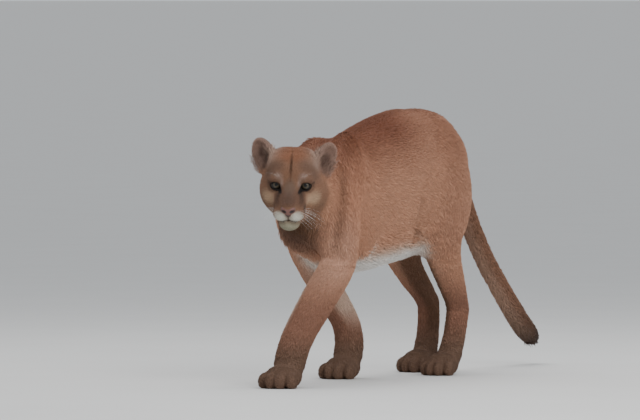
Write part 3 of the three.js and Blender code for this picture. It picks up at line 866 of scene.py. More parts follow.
@dataclass
class Net:
    """A triangle mesh in millimetres, as rows of corners and of faces."""

    corners: np.ndarray
    faces: np.ndarray

    def edges(self) -> tuple[np.ndarray, np.ndarray]:
        """Every edge once, and which edge each side of each face is.

        Returns:
            The pairs of corners, and the numbers of the edges 0-1, 1-2 and 2-0 of each face.
        """
        sides = np.concatenate([self.faces[:, [0, 1]], self.faces[:, [1, 2]], self.faces[:, [2, 0]]])
        sides = np.sort(sides, axis=1).astype(np.int64)
        keys, back = np.unique(sides[:, 0] * len(self.corners) + sides[:, 1], return_inverse=True)
        pairs = np.stack([keys // len(self.corners), keys % len(self.corners)], 1)
        return pairs, back.reshape(3, -1).T

    def normals(self) -> np.ndarray:
        """The outward normal at each corner.

        Returns:
            One unit vector for each corner.
        """
        a, b, c = (self.corners[self.faces[:, i]] for i in range(3))
        flat = np.cross(b - a, c - a)
        total = np.zeros_like(self.corners)
        for i in range(3):
            for axis in range(3):
                total[:, axis] += np.bincount(self.faces[:, i], flat[:, axis], len(self.corners))
        return unit(total)

    def refined(self, target: Callable[[np.ndarray], np.ndarray]) -> Net:
        """The net with every edge that is too long split at its middle.

        Args:
            target: the greatest length of an edge near each point.

        Returns:
            The finer net.
        """
        pairs, sides = self.edges()
        middle = self.corners[pairs].mean(1)
        long = np.linalg.norm(self.corners[pairs[:, 0]] - self.corners[pairs[:, 1]], axis=1)
        split = long > target(middle)
        number = np.full(len(pairs), -1)
        number[split] = len(self.corners) + np.arange(split.sum())
        corners = np.concatenate([self.corners, middle[split]])
        halves = number[sides]
        count = (halves >= 0).sum(1)
        faces = [self.faces[count == 0]]
        for turns in range(3):
            order = [(turns + i) % 3 for i in range(3)]
            a, b, c = (self.faces[:, i] for i in order)
            ab, bc, ca = (halves[:, i] for i in order)
            one = (count == 1) & (ab >= 0)
            faces.append(np.stack([a, ab, c], 1)[one])
            faces.append(np.stack([ab, b, c], 1)[one])
            two = (count == 2) & (ca < 0)
            faces.append(np.stack([ab, b, bc], 1)[two])
            faces.append(np.stack([a, ab, bc], 1)[two])
            faces.append(np.stack([a, bc, c], 1)[two])
        a, b, c = (self.faces[count == 3, i] for i in range(3))
        ab, bc, ca = (halves[count == 3, i] for i in range(3))
        faces += [np.stack(f, 1) for f in ((a, ab, ca), (ab, b, bc), (ca, bc, c), (ab, bc, ca))]
        return Net(corners, np.concatenate(faces))

    def evened(self, amount: float = 0.5) -> Net:
        """The net with each corner moved along the surface towards the middle of its neighbours.

        Args:
            amount: the share of the way.

        Returns:
            The evened net.
        """
        pairs, _ = self.edges()
        total = np.zeros_like(self.corners)
        met = np.bincount(pairs.ravel(), minlength=len(self.corners))
        for axis in range(3):
            for i, j in ((0, 1), (1, 0)):
                beside = self.corners[pairs[:, j], axis]
                total[:, axis] += np.bincount(pairs[:, i], beside, len(self.corners))
        normal = self.normals()
        move = total / np.maximum(met, 1)[:, None] - self.corners
        move -= normal * (move * normal).sum(1, keepdims=True)
        return Net(self.corners + move * amount, self.faces)

    def largest(self) -> Net:
        """Only the largest connected piece of the net.

        Returns:
            That piece.
        """
        pairs, _ = self.edges()
        label = np.arange(len(self.corners))
        while True:
            low = np.minimum(label[pairs[:, 0]], label[pairs[:, 1]])
            new = label.copy()
            np.minimum.at(new, pairs[:, 0], low)
            np.minimum.at(new, pairs[:, 1], low)
            new = new[new]
            if (new == label).all():
                break
            label = new
        keep = np.bincount(label).argmax()
        kept = label == keep
        number = np.cumsum(kept) - 1
        return Net(self.corners[kept], number[self.faces[kept[self.faces[:, 0]]]])


@dataclass
class Frame:
    """Where the animal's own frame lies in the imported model's."""

    shift: np.ndarray

    @classmethod
    def found(cls, animal: Animal) -> Frame:
        """Finds the frame from the boxes of the two eyeballs.

        Args:
            animal: the whole form.

        Returns:
            The frame.
        """
        gaps = []
        for side, name in ((LEFT, "left_eye"), (RIGHT, "right_eye")):
            low, high = (np.array(corner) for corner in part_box(name))
            own = animal.head.placed(animal.eyes.centre(side)[None])[0]
            gaps.append((low + high) / 2 * MM_PER_METRE - own)
        return cls(np.mean(gaps, axis=0))

    def metres(self, points: np.ndarray) -> np.ndarray:
        """Points of the animal's frame in the model's, in metres."""
        return (points + self.shift) / MM_PER_METRE

    def own(self, points: np.ndarray) -> np.ndarray:
        """Points of the model in the animal's frame, in millimetres."""
        return points * MM_PER_METRE - self.shift


def tone(red: float, green: float, blue: float) -> np.ndarray:
    """A colour as a screen shows it, in shader numbers.

    Args:
        red: from 0 to 255.
        green: from 0 to 255.
        blue: from 0 to 255.

    Returns:
        The three numbers.
    """
    c = np.array([red, green, blue]) / 255
    return np.where(c <= 0.04045, c / 12.92, ((c + 0.055) / 1.055) ** 2.4)


class Hue(Enum):
    """The colours of the coat and of bare skin, as a screen shows them, some of them painted shade."""

    FLANK = (200, 149, 120)
    BACK = (122, 74, 54)
    SPINE = (104, 62, 44)
    SHOULDER = (192, 138, 110)
    THIGH = (178, 132, 108)
    PINK = (206, 164, 142)
    PALE = (220, 192, 172)
    WHITE = (240, 236, 230)
    # Brown of the neck; on the throat and the sides of the breast it is also painted shade under the head.
    NECK = (146, 108, 80)
    # Painted shadow of the head, on the throat and the front of the breast.
    THROAT = (66, 46, 36)
    # Painted shade between the hind legs and in the folds.
    INNER = (98, 72, 54)
    # Darker towards the feet: partly the coat's own tone, partly painted shade low on the legs.
    SHIN = (150, 108, 88)
    PAW = (118, 92, 76)
    TAIL = (142, 104, 82)
    TAIL_END = (66, 50, 42)
    FOREHEAD = (128, 94, 73)
    BRIDGE = (112, 90, 76)
    CROWN = (144, 92, 64)
    STRIPE = (60, 36, 24)
    BROW = (168, 152, 144)
    TEMPLE = (100, 80, 70)
    CHEEK = (206, 176, 146)
    JOWL = (142, 110, 88)
    # A dark band on the muzzle; round the eyes it is painted shade in the sockets.
    BAND = (70, 52, 44)
    SMOKE = (78, 60, 52)
    MASK = (34, 26, 24)
    PAD = (222, 220, 206)
    CHIN = (170, 167, 144)
    EAR_BACK = (58, 47, 42)
    EAR_PALE = (112, 104, 102)
    EAR_DEEP = (64, 45, 42)
    EAR_RIM = (132, 120, 112)
    LID = (30, 23, 20)
    LIP = (36, 28, 26)
    NOSE = (112, 74, 66)
    # Painted shade inside the nostrils.
    NOSTRIL = (40, 26, 26)
    IRIS = (74, 64, 48)
    IRIS_EDGE = (46, 42, 36)
    IRIS_RING = (24, 22, 20)
    EYE_WHITE = (120, 104, 92)
    PUPIL = (5, 5, 5)

    def colour(self) -> np.ndarray:
        """The colour in shader numbers."""
        return tone(*self.value)


def laid(paint: np.ndarray, hue: Hue, amount: np.ndarray) -> np.ndarray:
    """The colours with a hue blended over them."""
    return lean(paint, hue.colour()[None], amount)


@dataclass(frozen=True)
class Mark:
    """A soft oval of another colour on the head, or on both its sides."""

    hue: Hue
    at: tuple[float, float, float]
    size: tuple[float, float, float]
    amount: float = 1.0
    soft: float = 0.6
    both: bool = True
    tilt: float = 0.0

    def cover(self, q: np.ndarray) -> np.ndarray:
        """How much of the mark shows at each point.

        Args:
            q: points of the head's frame.

        Returns:
            The shares.
        """
        p = q.copy()
        if self.both:
            p[:, 1] = np.abs(p[:, 1])
        d = (p - np.array(self.at)) @ about(0, self.tilt)
        far = np.linalg.norm(d / np.array(self.size), axis=1)
        return self.amount * ramp(far, 1.0, 1.0 - self.soft)


class Markings:
    """The colours of the coat at each place, shared by the skin and the tufts, with painted shade under the
    head, between the hind legs, in the folds and round the eyes, and partly low on the legs.
    """

    BLEND = 26.0
    FACE = (
        Mark(Hue.CROWN, (-40, 0, 70), (60, 60, 40), 0.7, both=False),
        Mark(Hue.BRIDGE, (40, 0, 0), (46, 20, 30), 0.9, both=False),
        Mark(Hue.TEMPLE, (-16, 56, 26), (46, 34, 40), 0.75, 0.9),
        Mark(Hue.CHEEK, (14, 56, -34), (46, 34, 34), 0.85, 0.9),
        Mark(Hue.JOWL, (-30, 60, -60), (50, 40, 30), 0.7),
        Mark(Hue.TEMPLE, (-6, 32, 44), (44, 26, 24), 0.55, 0.95),
        Mark(Hue.BROW, (10, 28, 22), (28, 17, 14), 0.42, 0.95, tilt=14),
        Mark(Hue.BROW, (14, 20, 7), (26, 8, 16), 0.6, 0.95),
        Mark(Hue.SMOKE, (72, 0, -20), (52, 36, 26), 0.8, 0.9, both=False),
        Mark(Hue.BAND, (50, 29, -24), (38, 15, 32), 0.75, 0.9, tilt=-16),
        Mark(Hue.STRIPE, (-4, 0, 46), (76, 5.4, 46), 0.85, 0.9, both=False),
        Mark(Hue.PAD, (70, 17, -57), (28, 22, 19), 0.95, 0.5),
        Mark(Hue.MASK, (52, 41, -46), (28, 11, 20), 0.85, 0.8, tilt=14),
        Mark(Hue.WHITE, (22, 52, -50), (22, 12, 16), 0.75, 0.7),
        Mark(Hue.CHIN, (52, 0, -84), (44, 32, 22), 0.95, 0.5, both=False),
        Mark(Hue.CHIN, (16, 0, -92), (44, 38, 20), 0.6, 0.6, both=False),
    )

    def __init__(self, animal: Animal) -> None:
        """Keeps the animal that carries the coat.

        Args:
            animal: the whole form.
        """
        self.animal = animal

    def colours(self, points: np.ndarray, normals: np.ndarray, shares: np.ndarray) -> np.ndarray:
        """The colour of the coat at each point.

        Args:
            points: points on the skin.
            normals: its normals there.
            shares: how much each belongs to each Part.

        Returns:
            One colour for each point, in shader numbers.
        """
        x, y, z = points.T
        up = normals[:, 2]
        broad = self.animal.weights(points, self.BLEND)
        column = {part: (broad if part.value < Part.HEAD.value else shares)[:, part.value] for part in Part}
        paint = np.repeat(Hue.FLANK.colour()[None], len(points), 0)

        def lay(hue: Hue, amount: np.ndarray) -> None:
            """Blends a hue over what is there."""
            nonlocal paint
            paint = laid(paint, hue, np.clip(amount, 0, 1))

        neck = column[Part.NECK]
        trunk = column[Part.TRUNK] + neck
        fore = column[Part.LEFT_FORE] + column[Part.RIGHT_FORE]
        hind = column[Part.LEFT_HIND] + column[Part.RIGHT_HIND]
        body = trunk + fore + hind
        inward = -np.sign(y) * normals[:, 1]
        lay(Hue.SHOULDER, fore * ramp(z, 280, 420))
        lay(Hue.THIGH, hind * ramp(z, 240, 400))
        lay(Hue.BACK, body * ramp(z, 440, 640) * ramp(up, -0.3, 0.7) * (1 - 0.5 * ramp(x, -160, 40)))
        lay(Hue.SPINE, 0.6 * body * ramp(up, 0.7, 0.98) * ramp(np.abs(y), 44, 8))
        lay(Hue.PINK, 0.5 * body * ramp(x, -390, -480) * ramp(z, 470, 340) * ramp(z, 180, 280))
        # The neck's own brown, laid also on the throat and the sides of the breast as painted shade under the
        # head, where the coat is pale.
        shaded_breast = 0.8 * trunk * ramp(x, -480, -520) * ramp(inward, -0.8, -0.3)
        lay(Hue.NECK, 0.9 * neck * ramp(x, -470, -540) + shaded_breast)
        lay(Hue.PALE, trunk * ramp(up, -0.4, -0.66) * ramp(z, 400, 330) * ramp(x, -430, -360))
        lay(Hue.WHITE, trunk * ramp(up, -0.54, -0.78) * ramp(z, 380, 310) * ramp(x, -420, -350))
        # Painted shadow of the head over the front of the throat and the breast.
        lay(Hue.THROAT, 0.85 * trunk * ramp(x, -420, -480) * ramp(up, 0.2, -0.3) * ramp(np.abs(y), 95, 55))
        # Darker low on the legs and at the paws: partly the coat's own tone, partly painted shade.
        lay(Hue.SHIN, (fore + hind) * ramp(z, 300, 170))
        lay(Hue.PALE, 0.85 * fore * ramp(inward, 0.3, 0.8) * ramp(z, 110, 200) * ramp(z, 275, 215))
        # Painted shade on the inner side of the hind legs, between them.
        lay(Hue.INNER, 0.8 * hind * ramp(inward, 0.0, 0.6) * ramp(z, 60, 130) * ramp(z, 420, 350))
        lay(Hue.PAW, (fore + hind) * ramp(z, 150, 60))
        # Painted shade in the crease of each fold.
        for fold in FOLDS:
            lay(Hue.INNER, fold.shade * fold.cover(points))
        tail = column[Part.TAIL]
        lay(Hue.TAIL, tail * ramp(z, 560, 430))
        lay(Hue.PALE, 0.25 * tail * ramp(up, -0.2, -0.8))
        lay(Hue.TAIL_END, tail * ramp(self.animal.tail.passed(points), 0.62, 0.95))
        return self._head(paint, points, normals, column)

    def _head(
        self, paint: np.ndarray, points: np.ndarray, normals: np.ndarray, column: dict[Part, np.ndarray]
    ) -> np.ndarray:
        """Lays the markings of the head and the ears over the coat.

        Args:
            paint: the colours so far.
            points: points on the skin.
            normals: its normals there.
            column: the share of each Part.

        Returns:
            The colours with the head's.
        """
        animal = self.animal
        q = animal.head.local(points)
        head = column[Part.HEAD] * ramp(q[:, 0], -110, -70)
        paint = laid(paint, Hue.FOREHEAD, head * 0.9)
        near = head > 0.01
        local = q[near]
        coat = paint[near]
        for mark in self.FACE:
            coat = laid(coat, mark.hue, mark.cover(local) * head[near])
        for side in (LEFT, RIGHT):
            coat = self._eye(coat, local, side)
        above = animal.above_mouth(local)
        lip = ramp(np.abs(above), 3.8, 1.6) * ramp(local[:, 0], 18, 26)
        cleft = ramp(np.abs(local[:, 1]), 2.2, 1.0) * ramp(local[:, 0], 62, 70)
        cleft = cleft * ramp(local[:, 2], -42, -48) * (above > 0)
        paint[near] = laid(coat, Hue.LIP, np.maximum(lip, 0.8 * cleft))
        for side, part in ((LEFT, Part.LEFT_EAR), (RIGHT, Part.RIGHT_EAR)):
            paint = self._ear(paint, q, normals, column[part], side)
        return paint

    def _eye(self, coat: np.ndarray, q: np.ndarray, side: int) -> np.ndarray:
        """Lays the dark lines around one eye, and painted shade in its socket.

        Args:
            coat: the colours of the head so far.
            q: its points in the head's frame.
            side: LEFT or RIGHT.

        Returns:
            The colours with the lines.
        """
        eyes = self.animal.eyes
        almond = eyes.almond(q, side)
        e = eyes.local(q, side)
        front = (e[:, 0] > 2).astype(float)
        streak = np.hypot((e[:, 1] * side - 19) / 11, (e[:, 2] - 4) / 3.4)
        tear = np.hypot((e[:, 1] * side + 15) / 4.5, (e[:, 2] + 9) / 8)
        coat = laid(coat, Hue.MASK, 0.5 * ramp(streak, 1.3, 0.2) * front)
        coat = laid(coat, Hue.MASK, 0.6 * ramp(tear, 1.5, 0.2) * front)
        # Painted shade in the eye socket: a soft dark ring round the lids.
        coat = laid(coat, Hue.BAND, 0.45 * ramp(almond, 13, 2) * front)
        return laid(coat, Hue.LID, ramp(almond, 4.2, 0.8) * front)

    def _ear(
        self, paint: np.ndarray, q: np.ndarray, normals: np.ndarray, share: np.ndarray, side: int
    ) -> np.ndarray:
        """Lays the colours of one ear: dark behind, pale in front, darkest in the cup.

        Args:
            paint: the colours so far.
            q: the points in the head's frame.
            normals: the normals there, in the animal's frame.
            share: how much each point belongs to the ear.
            side: LEFT or RIGHT.

        Returns:
            The colours with the ear's.
        """
        ear = self.animal.ears[side]
        e = ear.local(q)
        n = (normals @ self.animal.head.turn) @ ear.axes
        share = share * ramp(e[:, 2], -22, -4)
        inside = ramp(n[:, 0], -0.1, 0.45)
        deep = ramp(np.hypot(e[:, 1] / 15, (e[:, 2] - 20) / 26), 1.1, 0.4)
        fringe = ramp(np.abs(q[:, 1]), 70, 54) * ramp(e[:, 2], 40, 20)
        rim = ramp(np.abs(n[:, 0]), 0.5, 0.1)
        paint = laid(paint, Hue.EAR_BACK, share * (1 - inside))
        paint = laid(paint, Hue.EAR_PALE, share * inside)
        paint = laid(paint, Hue.EAR_DEEP, 0.85 * share * inside * deep)
        paint = laid(paint, Hue.PALE, 0.6 * share * inside * fringe)
        return laid(paint, Hue.EAR_RIM, 0.7 * share * rim)


class Wire:
    """A socket of a shader graph that can be used in sums."""

    def __init__(self, paint: Paint, socket: Any) -> None:
        """Wraps the socket.

        Args:
            paint: the material's graph.
            socket: the output that is read.
        """
        self.paint = paint
        self.socket = socket

    def _maths(self, operation: str, a: Any, b: Any) -> Wire:
        """One Math node on two values."""
        return self.paint.node("ShaderNodeMath", {"operation": operation}, {0: a, 1: b}).out()

    def __add__(self, other: Any) -> Wire:
        """self + other."""
        return self._maths("ADD", self, other)

    def __radd__(self, other: Any) -> Wire:
        """other + self."""
        return self._maths("ADD", other, self)

    def __sub__(self, other: Any) -> Wire:
        """self - other."""
        return self._maths("SUBTRACT", self, other)

    def __rsub__(self, other: Any) -> Wire:
        """other - self."""
        return self._maths("SUBTRACT", other, self)

    def __mul__(self, other: Any) -> Wire:
        """self * other."""
        return self._maths("MULTIPLY", self, other)

    def __rmul__(self, other: Any) -> Wire:
        """other * self."""
        return self._maths("MULTIPLY", other, self)


class Made:
    """A node that has been made, whose outputs are wires."""

    def __init__(self, paint: Paint, node: Any) -> None:
        """Keeps the node.

        Args:
            paint: the material's graph.
            node: the node.
        """
        self.paint = paint
        self.node = node

    def out(self, name: str | int = 0) -> Wire:
        """One of the node's outputs."""
        return Wire(self.paint, self.node.outputs[name])


class Paint:
    """A material whose graph is written as expressions."""

    def __init__(self, name: str) -> None:
        """Starts an empty graph.

        Args:
            name: the material's name.
        """
        self.material = bpy.data.materials.new(name)
        self.material.use_nodes = True
        self.tree = self.material.node_tree
        self.tree.nodes.clear()

    def node(
        self, kind: str, settings: dict[str, Any] | None = None, inputs: dict[Any, Any] | None = None
    ) -> Made:
        """Makes any node.

        Args:
            kind: the node's type.
            settings: its settings, set first.
            inputs: the value or the wire of each socket.

        Returns:
            The node.
        """
        node = self.tree.nodes.new(kind)
        for name, value in (settings or {}).items():
            setattr(node, name, value)
        for name, value in (inputs or {}).items():
            if isinstance(value, Wire):
                self.tree.links.new(value.socket, node.inputs[name])
            else:
                node.inputs[name].default_value = value
        return Made(self, node)

    def attribute(self, name: str) -> Wire:
        """The colour of a mesh attribute."""
        return self.node("ShaderNodeAttribute", {"attribute_name": name}).out("Color")

    def place(self) -> Wire:
        """The place on the object."""
        return self.node("ShaderNodeTexCoord").out("Object")

    def noise(self, scale: float, detail: float = 2.0, rough: float = 0.5) -> Wire:
        """Soft noise over the object, from 0 to 1.

        Args:
            scale: how many waves to a metre.
            detail: how many finer layers it has.
            rough: how strong those are.

        Returns:
            The noise.
        """
        inputs = {"Vector": self.place(), "Scale": scale, "Detail": detail, "Roughness": rough}
        return self.node("ShaderNodeTexNoise", None, inputs).out("Fac")

    def mix(self, a: Any, b: Any, share: Any, blend: str = "MIX") -> Wire:
        """A blend of two colours.

        Args:
            a: the first colour.
            b: the second.
            share: how much of the second shows.
            blend: how they are mixed.

        Returns:
            The colour.
        """
        settings = {"data_type": "RGBA", "blend_type": blend}
        return self.node("ShaderNodeMix", settings, {0: share, 6: a, 7: b}).out(2)

    def grey(self, value: Wire) -> Wire:
        """A number as a grey colour."""
        return self.node("ShaderNodeCombineXYZ", None, {0: value, 1: value, 2: value}).out()

    def bump(self, height: Wire, distance: float, strength: float = 1.0) -> Wire:
        """A normal from a height.

        Args:
            height: the height.
            distance: how far a height of one stands out, in metres.
            strength: how strongly it shows.

        Returns:
            The normal.
        """
        inputs = {"Height": height, "Distance": distance, "Strength": strength}
        return self.node("ShaderNodeBump", None, inputs).out()

    def surface(self, **values: Any) -> bpy.types.Material:
        """Ends the graph in one principled surface.

        Args:
            **values: its sockets by name, with _ for a space.

        Returns:
            The finished material.
        """
        named = {name.replace("_", " "): value for name, value in values.items()}
        shader = self.node("ShaderNodeBsdfPrincipled", None, named)
        self.node("ShaderNodeOutputMaterial", None, {"Surface": shader.out()})
        return self.material


@dataclass(frozen=True)
class FurFinish:
    """Short dull fur: the markings with fine mottling and a hairy bump."""

    name: str
    mottle: float = 0.16
    hair: float = 0.0006
    sheen: float = 0.03

    def material(self) -> bpy.types.Material:
        """Draws the finish.

        Returns:
            The finished material.
        """
        paint = Paint(self.name)
        broad = paint.noise(9, 3)
        patch = paint.noise(48, 3, 0.6)
        fine = paint.noise(260, 3, 0.65)
        soft = (broad - 0.5) * self.mottle + (patch - 0.5) * (self.mottle * 2.0)
        shade = soft + (fine - 0.5) * (self.mottle * 1.6) + 1.0
        colour = paint.mix(paint.attribute("Markings"), paint.grey(shade), 1.0, "MULTIPLY")
        return paint.surface(
            Base_Color=colour,
            Roughness=0.74 + fine * 0.16,
            Specular_IOR_Level=0.12,
            Sheen_Weight=self.sheen,
            Sheen_Roughness=0.5,
            Normal=paint.bump(paint.noise(900, 2, 0.6) + fine, self.hair),
        )


@dataclass(frozen=True)
class EyeFinish:
    """A wet eye: the drawn iris under a clear coat."""

    name: str = "wet_eye"

    def material(self) -> bpy.types.Material:
        """Draws the finish.

        Returns:
            The finished material.
        """
        paint = Paint(self.name)
        fine = paint.noise(1400, 2)
        colour = paint.mix(paint.attribute("Markings"), paint.grey(0.8 + fine * 0.4), 1.0, "MULTIPLY")
        return paint.surface(
            Base_Color=colour,
            Roughness=0.3 + fine * 0.1,
            Specular_IOR_Level=0.1,
            Coat_Weight=0.5,
            Coat_Roughness=0.02,
            Normal=paint.bump(fine, 0.00008),
        )


@dataclass(frozen=True)
class LeatherFinish:
    """Bare pebbled nose leather."""

    name: str = "nose_leather"

    def material(self) -> bpy.types.Material:
        """Draws the finish.

        Returns:
            The finished material.
        """
        paint = Paint(self.name)
        inputs = {"Vector": paint.place(), "Scale": 850.0}
        pebbles = paint.node("ShaderNodeTexVoronoi", None, inputs).out("Distance")
        blotch = paint.noise(160, 3)
        shade = 1.08 - pebbles * 0.3 + (blotch - 0.5) * 0.3
        return paint.surface(
            Base_Color=paint.mix(paint.attribute("Markings"), paint.grey(shade), 1.0, "MULTIPLY"),
            Roughness=0.38 + blotch * 0.2,
            Specular_IOR_Level=0.5,
            Normal=paint.bump(1.0 - pebbles, 0.0004),
        )


@dataclass(frozen=True)
class WhiskerFinish:
    """Stiff pale hair with a faint gloss."""

    name: str = "whisker"

    def material(self) -> bpy.types.Material:
        """Draws the finish.

        Returns:
            The finished material.
        """
        paint = Paint(self.name)
        shade = 0.85 + paint.noise(120) * 0.3
        colour = paint.mix((0.78, 0.76, 0.72, 1), paint.grey(shade), 1.0, "MULTIPLY")
        return paint.surface(Base_Color=colour, Roughness=0.4)


@dataclass(frozen=True)
class FloorFinish:
    """A plain pale floor."""

    name: str = "pale_floor"

    def material(self) -> bpy.types.Material:
        """Draws the finish.

        Returns:
            The finished material.
        """
        paint = Paint(self.name)
        shade = 0.97 + paint.noise(3) * 0.06
        colour = paint.mix((0.62, 0.61, 0.59, 1), paint.grey(shade), 1.0, "MULTIPLY")
        return paint.surface(Base_Color=colour, Roughness=0.8)


@dataclass
class Workshop:
    """Makes Blender objects from nets and stands them on the animal's body."""

    frame: Frame

    def piece(
        self, name: str, net: Net, colours: np.ndarray, material: bpy.types.Material
    ) -> bpy.types.Object:
        """Makes one piece.

        Args:
            name: its name.
            net: its mesh in the animal's frame.
            colours: the colour of each corner.
            material: its finish.

        Returns:
            The object, riding on the body.
        """
        mesh = bpy.data.meshes.new(name)
        corners = self.frame.metres(net.corners)
        mesh.vertices.add(len(corners))
        mesh.vertices.foreach_set("co", corners.astype(np.float32).ravel())
        mesh.loops.add(len(net.faces) * 3)
        mesh.loops.foreach_set("vertex_index", net.faces.astype(np.int32).ravel())
        mesh.polygons.add(len(net.faces))
        mesh.polygons.foreach_set("loop_start", np.arange(0, len(net.faces) * 3, 3, dtype=np.int32))
        mesh.polygons.foreach_set("use_smooth", np.ones(len(net.faces), bool))
        mesh.update(calc_edges=True)
        layer = mesh.color_attributes.new("Markings", "FLOAT_COLOR", "POINT")
        full = np.ones((len(corners), 4), np.float32)
        full[:, :3] = colours
        layer.data.foreach_set("color", full.ravel())
        mesh.materials.append(material)
        thing = bpy.data.objects.new(name, mesh)
        bpy.context.scene.collection.objects.link(thing)
        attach(thing, BODY)
        log.info("%s: %d corners, %d faces", name, len(corners), len(net.faces))
        return thing

    def remeshed(self, nodes: Sequence[str], voxel: float) -> Net:
        """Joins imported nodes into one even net.

        Args:
            nodes: their names.
            voxel: the size of the net's squares in metres.

        Returns:
            The net in the animal's frame.
        """
        corners, faces, start = [], [], 0
        for name in nodes:
            mesh = bpy.data.objects[name].data
            at = np.zeros(len(mesh.vertices) * 3, np.float32)
            mesh.vertices.foreach_get("co", at)
            corners.append(at.reshape(-1, 3))
            faces += [[start + v for v in face.vertices] for face in mesh.polygons]
            start += len(mesh.vertices)
        joined = bpy.data.meshes.new("joined_flesh")
        joined.from_pydata(np.concatenate(corners).tolist(), [], faces)
        thing = bpy.data.objects.new("joined_flesh", joined)
        bpy.context.scene.collection.objects.link(thing)
        remesh = thing.modifiers.new("even", "REMESH")
        remesh.mode = "VOXEL"
        remesh.voxel_size = voxel
        made = thing.evaluated_get(bpy.context.evaluated_depsgraph_get()).to_mesh()
        made.calc_loop_triangles()
        at = np.zeros(len(made.vertices) * 3, np.float32)
        made.vertices.foreach_get("co", at)
        tris = np.zeros(len(made.loop_triangles) * 3, np.int32)
        made.loop_triangles.foreach_get("vertices", tris)
        net = Net(self.frame.own(at.reshape(-1, 3).astype(float)), tris.reshape(-1, 3).astype(np.int64))
        bpy.data.objects.remove(thing)
        bpy.data.meshes.remove(joined)
        return net


@dataclass
class Hide:
    """The one skin without a seam, finest on the face."""

    skin: Skin
    voxel: float = 0.0055
    shade: float = 0.85
    free: float = 99.0
    paw_edge: float = 4.6
    head_edge: float = 5.0
    face_edge: float = 3.0
    feature_edge: float = 1.6
    lid_edge: float = 0.85
    finish: FurFinish = FurFinish("coat_skin", hair=0.0009)
    nodes: tuple[str, ...] = (
        "left_ear", "right_ear", "lower_jaw", "muzzle", "face", "head", "neck", "left_forepaw",
        "right_forepaw", "left_hindpaw", "right_hindpaw", "left_forearm", "right_forearm", "left_shank",
        "right_shank", "tail_tip", "tail_middle", "tail_base", "left_upper_foreleg", "right_upper_foreleg",
        "left_thigh", "right_thigh", "rump", "loin", "chest",
    )

    def _target(self, level: int) -> Callable[[np.ndarray], np.ndarray]:
        """The greatest edge near each point at one level of fineness.

        Args:
            level: from 0, the coarsest, to 3.

        Returns:
            What gives the greatest edge for any points.
        """
        animal = self.skin.animal

        def target(points: np.ndarray) -> np.ndarray:
            """The greatest length of an edge near each point.

            Args:
                points: the points.

            Returns:
                The lengths.
            """
            q = animal.head.local(points)
            ahead = q[:, 0]
            long = np.full(len(points), self.free)
            long[points[:, 2] < 80] = self.paw_edge
            inside = np.linalg.norm(q, axis=1) < animal.FACE_REACH
            long[inside & (ahead > -110)] = self.head_edge
            if level > 0:
                long[inside & (ahead > -14)] = self.face_edge
            if level > 1:
                features = np.minimum(*(np.abs(animal.eyes.almond(q, s)) for s in (LEFT, RIGHT)))
                features = np.where(ahead > 2, features, self.free)
                mouth = np.where((ahead > 16) & inside, np.abs(animal.above_mouth(q)), self.free)
                lip = (ahead > 60) & (q[:, 2] < -42) & inside
                cleft = np.where(lip, np.abs(q[:, 1]), self.free)
                close = np.minimum(np.minimum(features, mouth), cleft)
                long[inside & (close < 6)] = self.feature_edge
                long[inside & (close < 3.4) & (level > 2)] = self.lid_edge
            return long

        return target

    def _settled(self, net: Net, rounds: int) -> Net:
        """The net moved onto the skin.

        Args:
            net: a net near the skin.
            rounds: how often each corner is moved.

        Returns:
            The settled net.
        """
        corners = net.corners.copy()
        self.skin.inset = self.skin.depth(corners)
        for _ in range(rounds):
            d, slope = self.skin.slope(corners)
            step = -d / np.maximum((slope**2).sum(1), 0.2)
            corners += slope * np.clip(step, -5, 5)[:, None]
        corners[:, 2] = np.maximum(corners[:, 2], FLOOR_GAP)
        return Net(corners, net.faces)

    def net(self, shop: Workshop) -> Net:
        """Draws the skin.

        Args:
            shop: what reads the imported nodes.

        Returns:
            The finished net.
        """
        net = shop.remeshed([*self.nodes, "left_eye", "right_eye"], self.voxel).largest()
        net = self._settled(net, 3).evened(0.4)
        for level in range(4):
            net = net.refined(self._target(level))
            net = self._settled(net.evened(0.5), 2)
        net = self._settled(net.evened(0.4), 2)
        log.info("skin drawn with %d faces", len(net.faces))
        return net

    def build(self, shop: Workshop, markings: Markings) -> Net:
        """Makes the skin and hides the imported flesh.

        Args:
            shop: what makes the piece.
            markings: the colours.

        Returns:
            The skin's net.
        """
        net = self.net(shop)
        shares = self.skin.animal.weights(net.corners)
        colours = markings.colours(net.corners, net.normals(), shares)
        thing = shop.piece("skin", net, colours * self.shade, self.finish.material())
        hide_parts(*self.nodes)
        return net


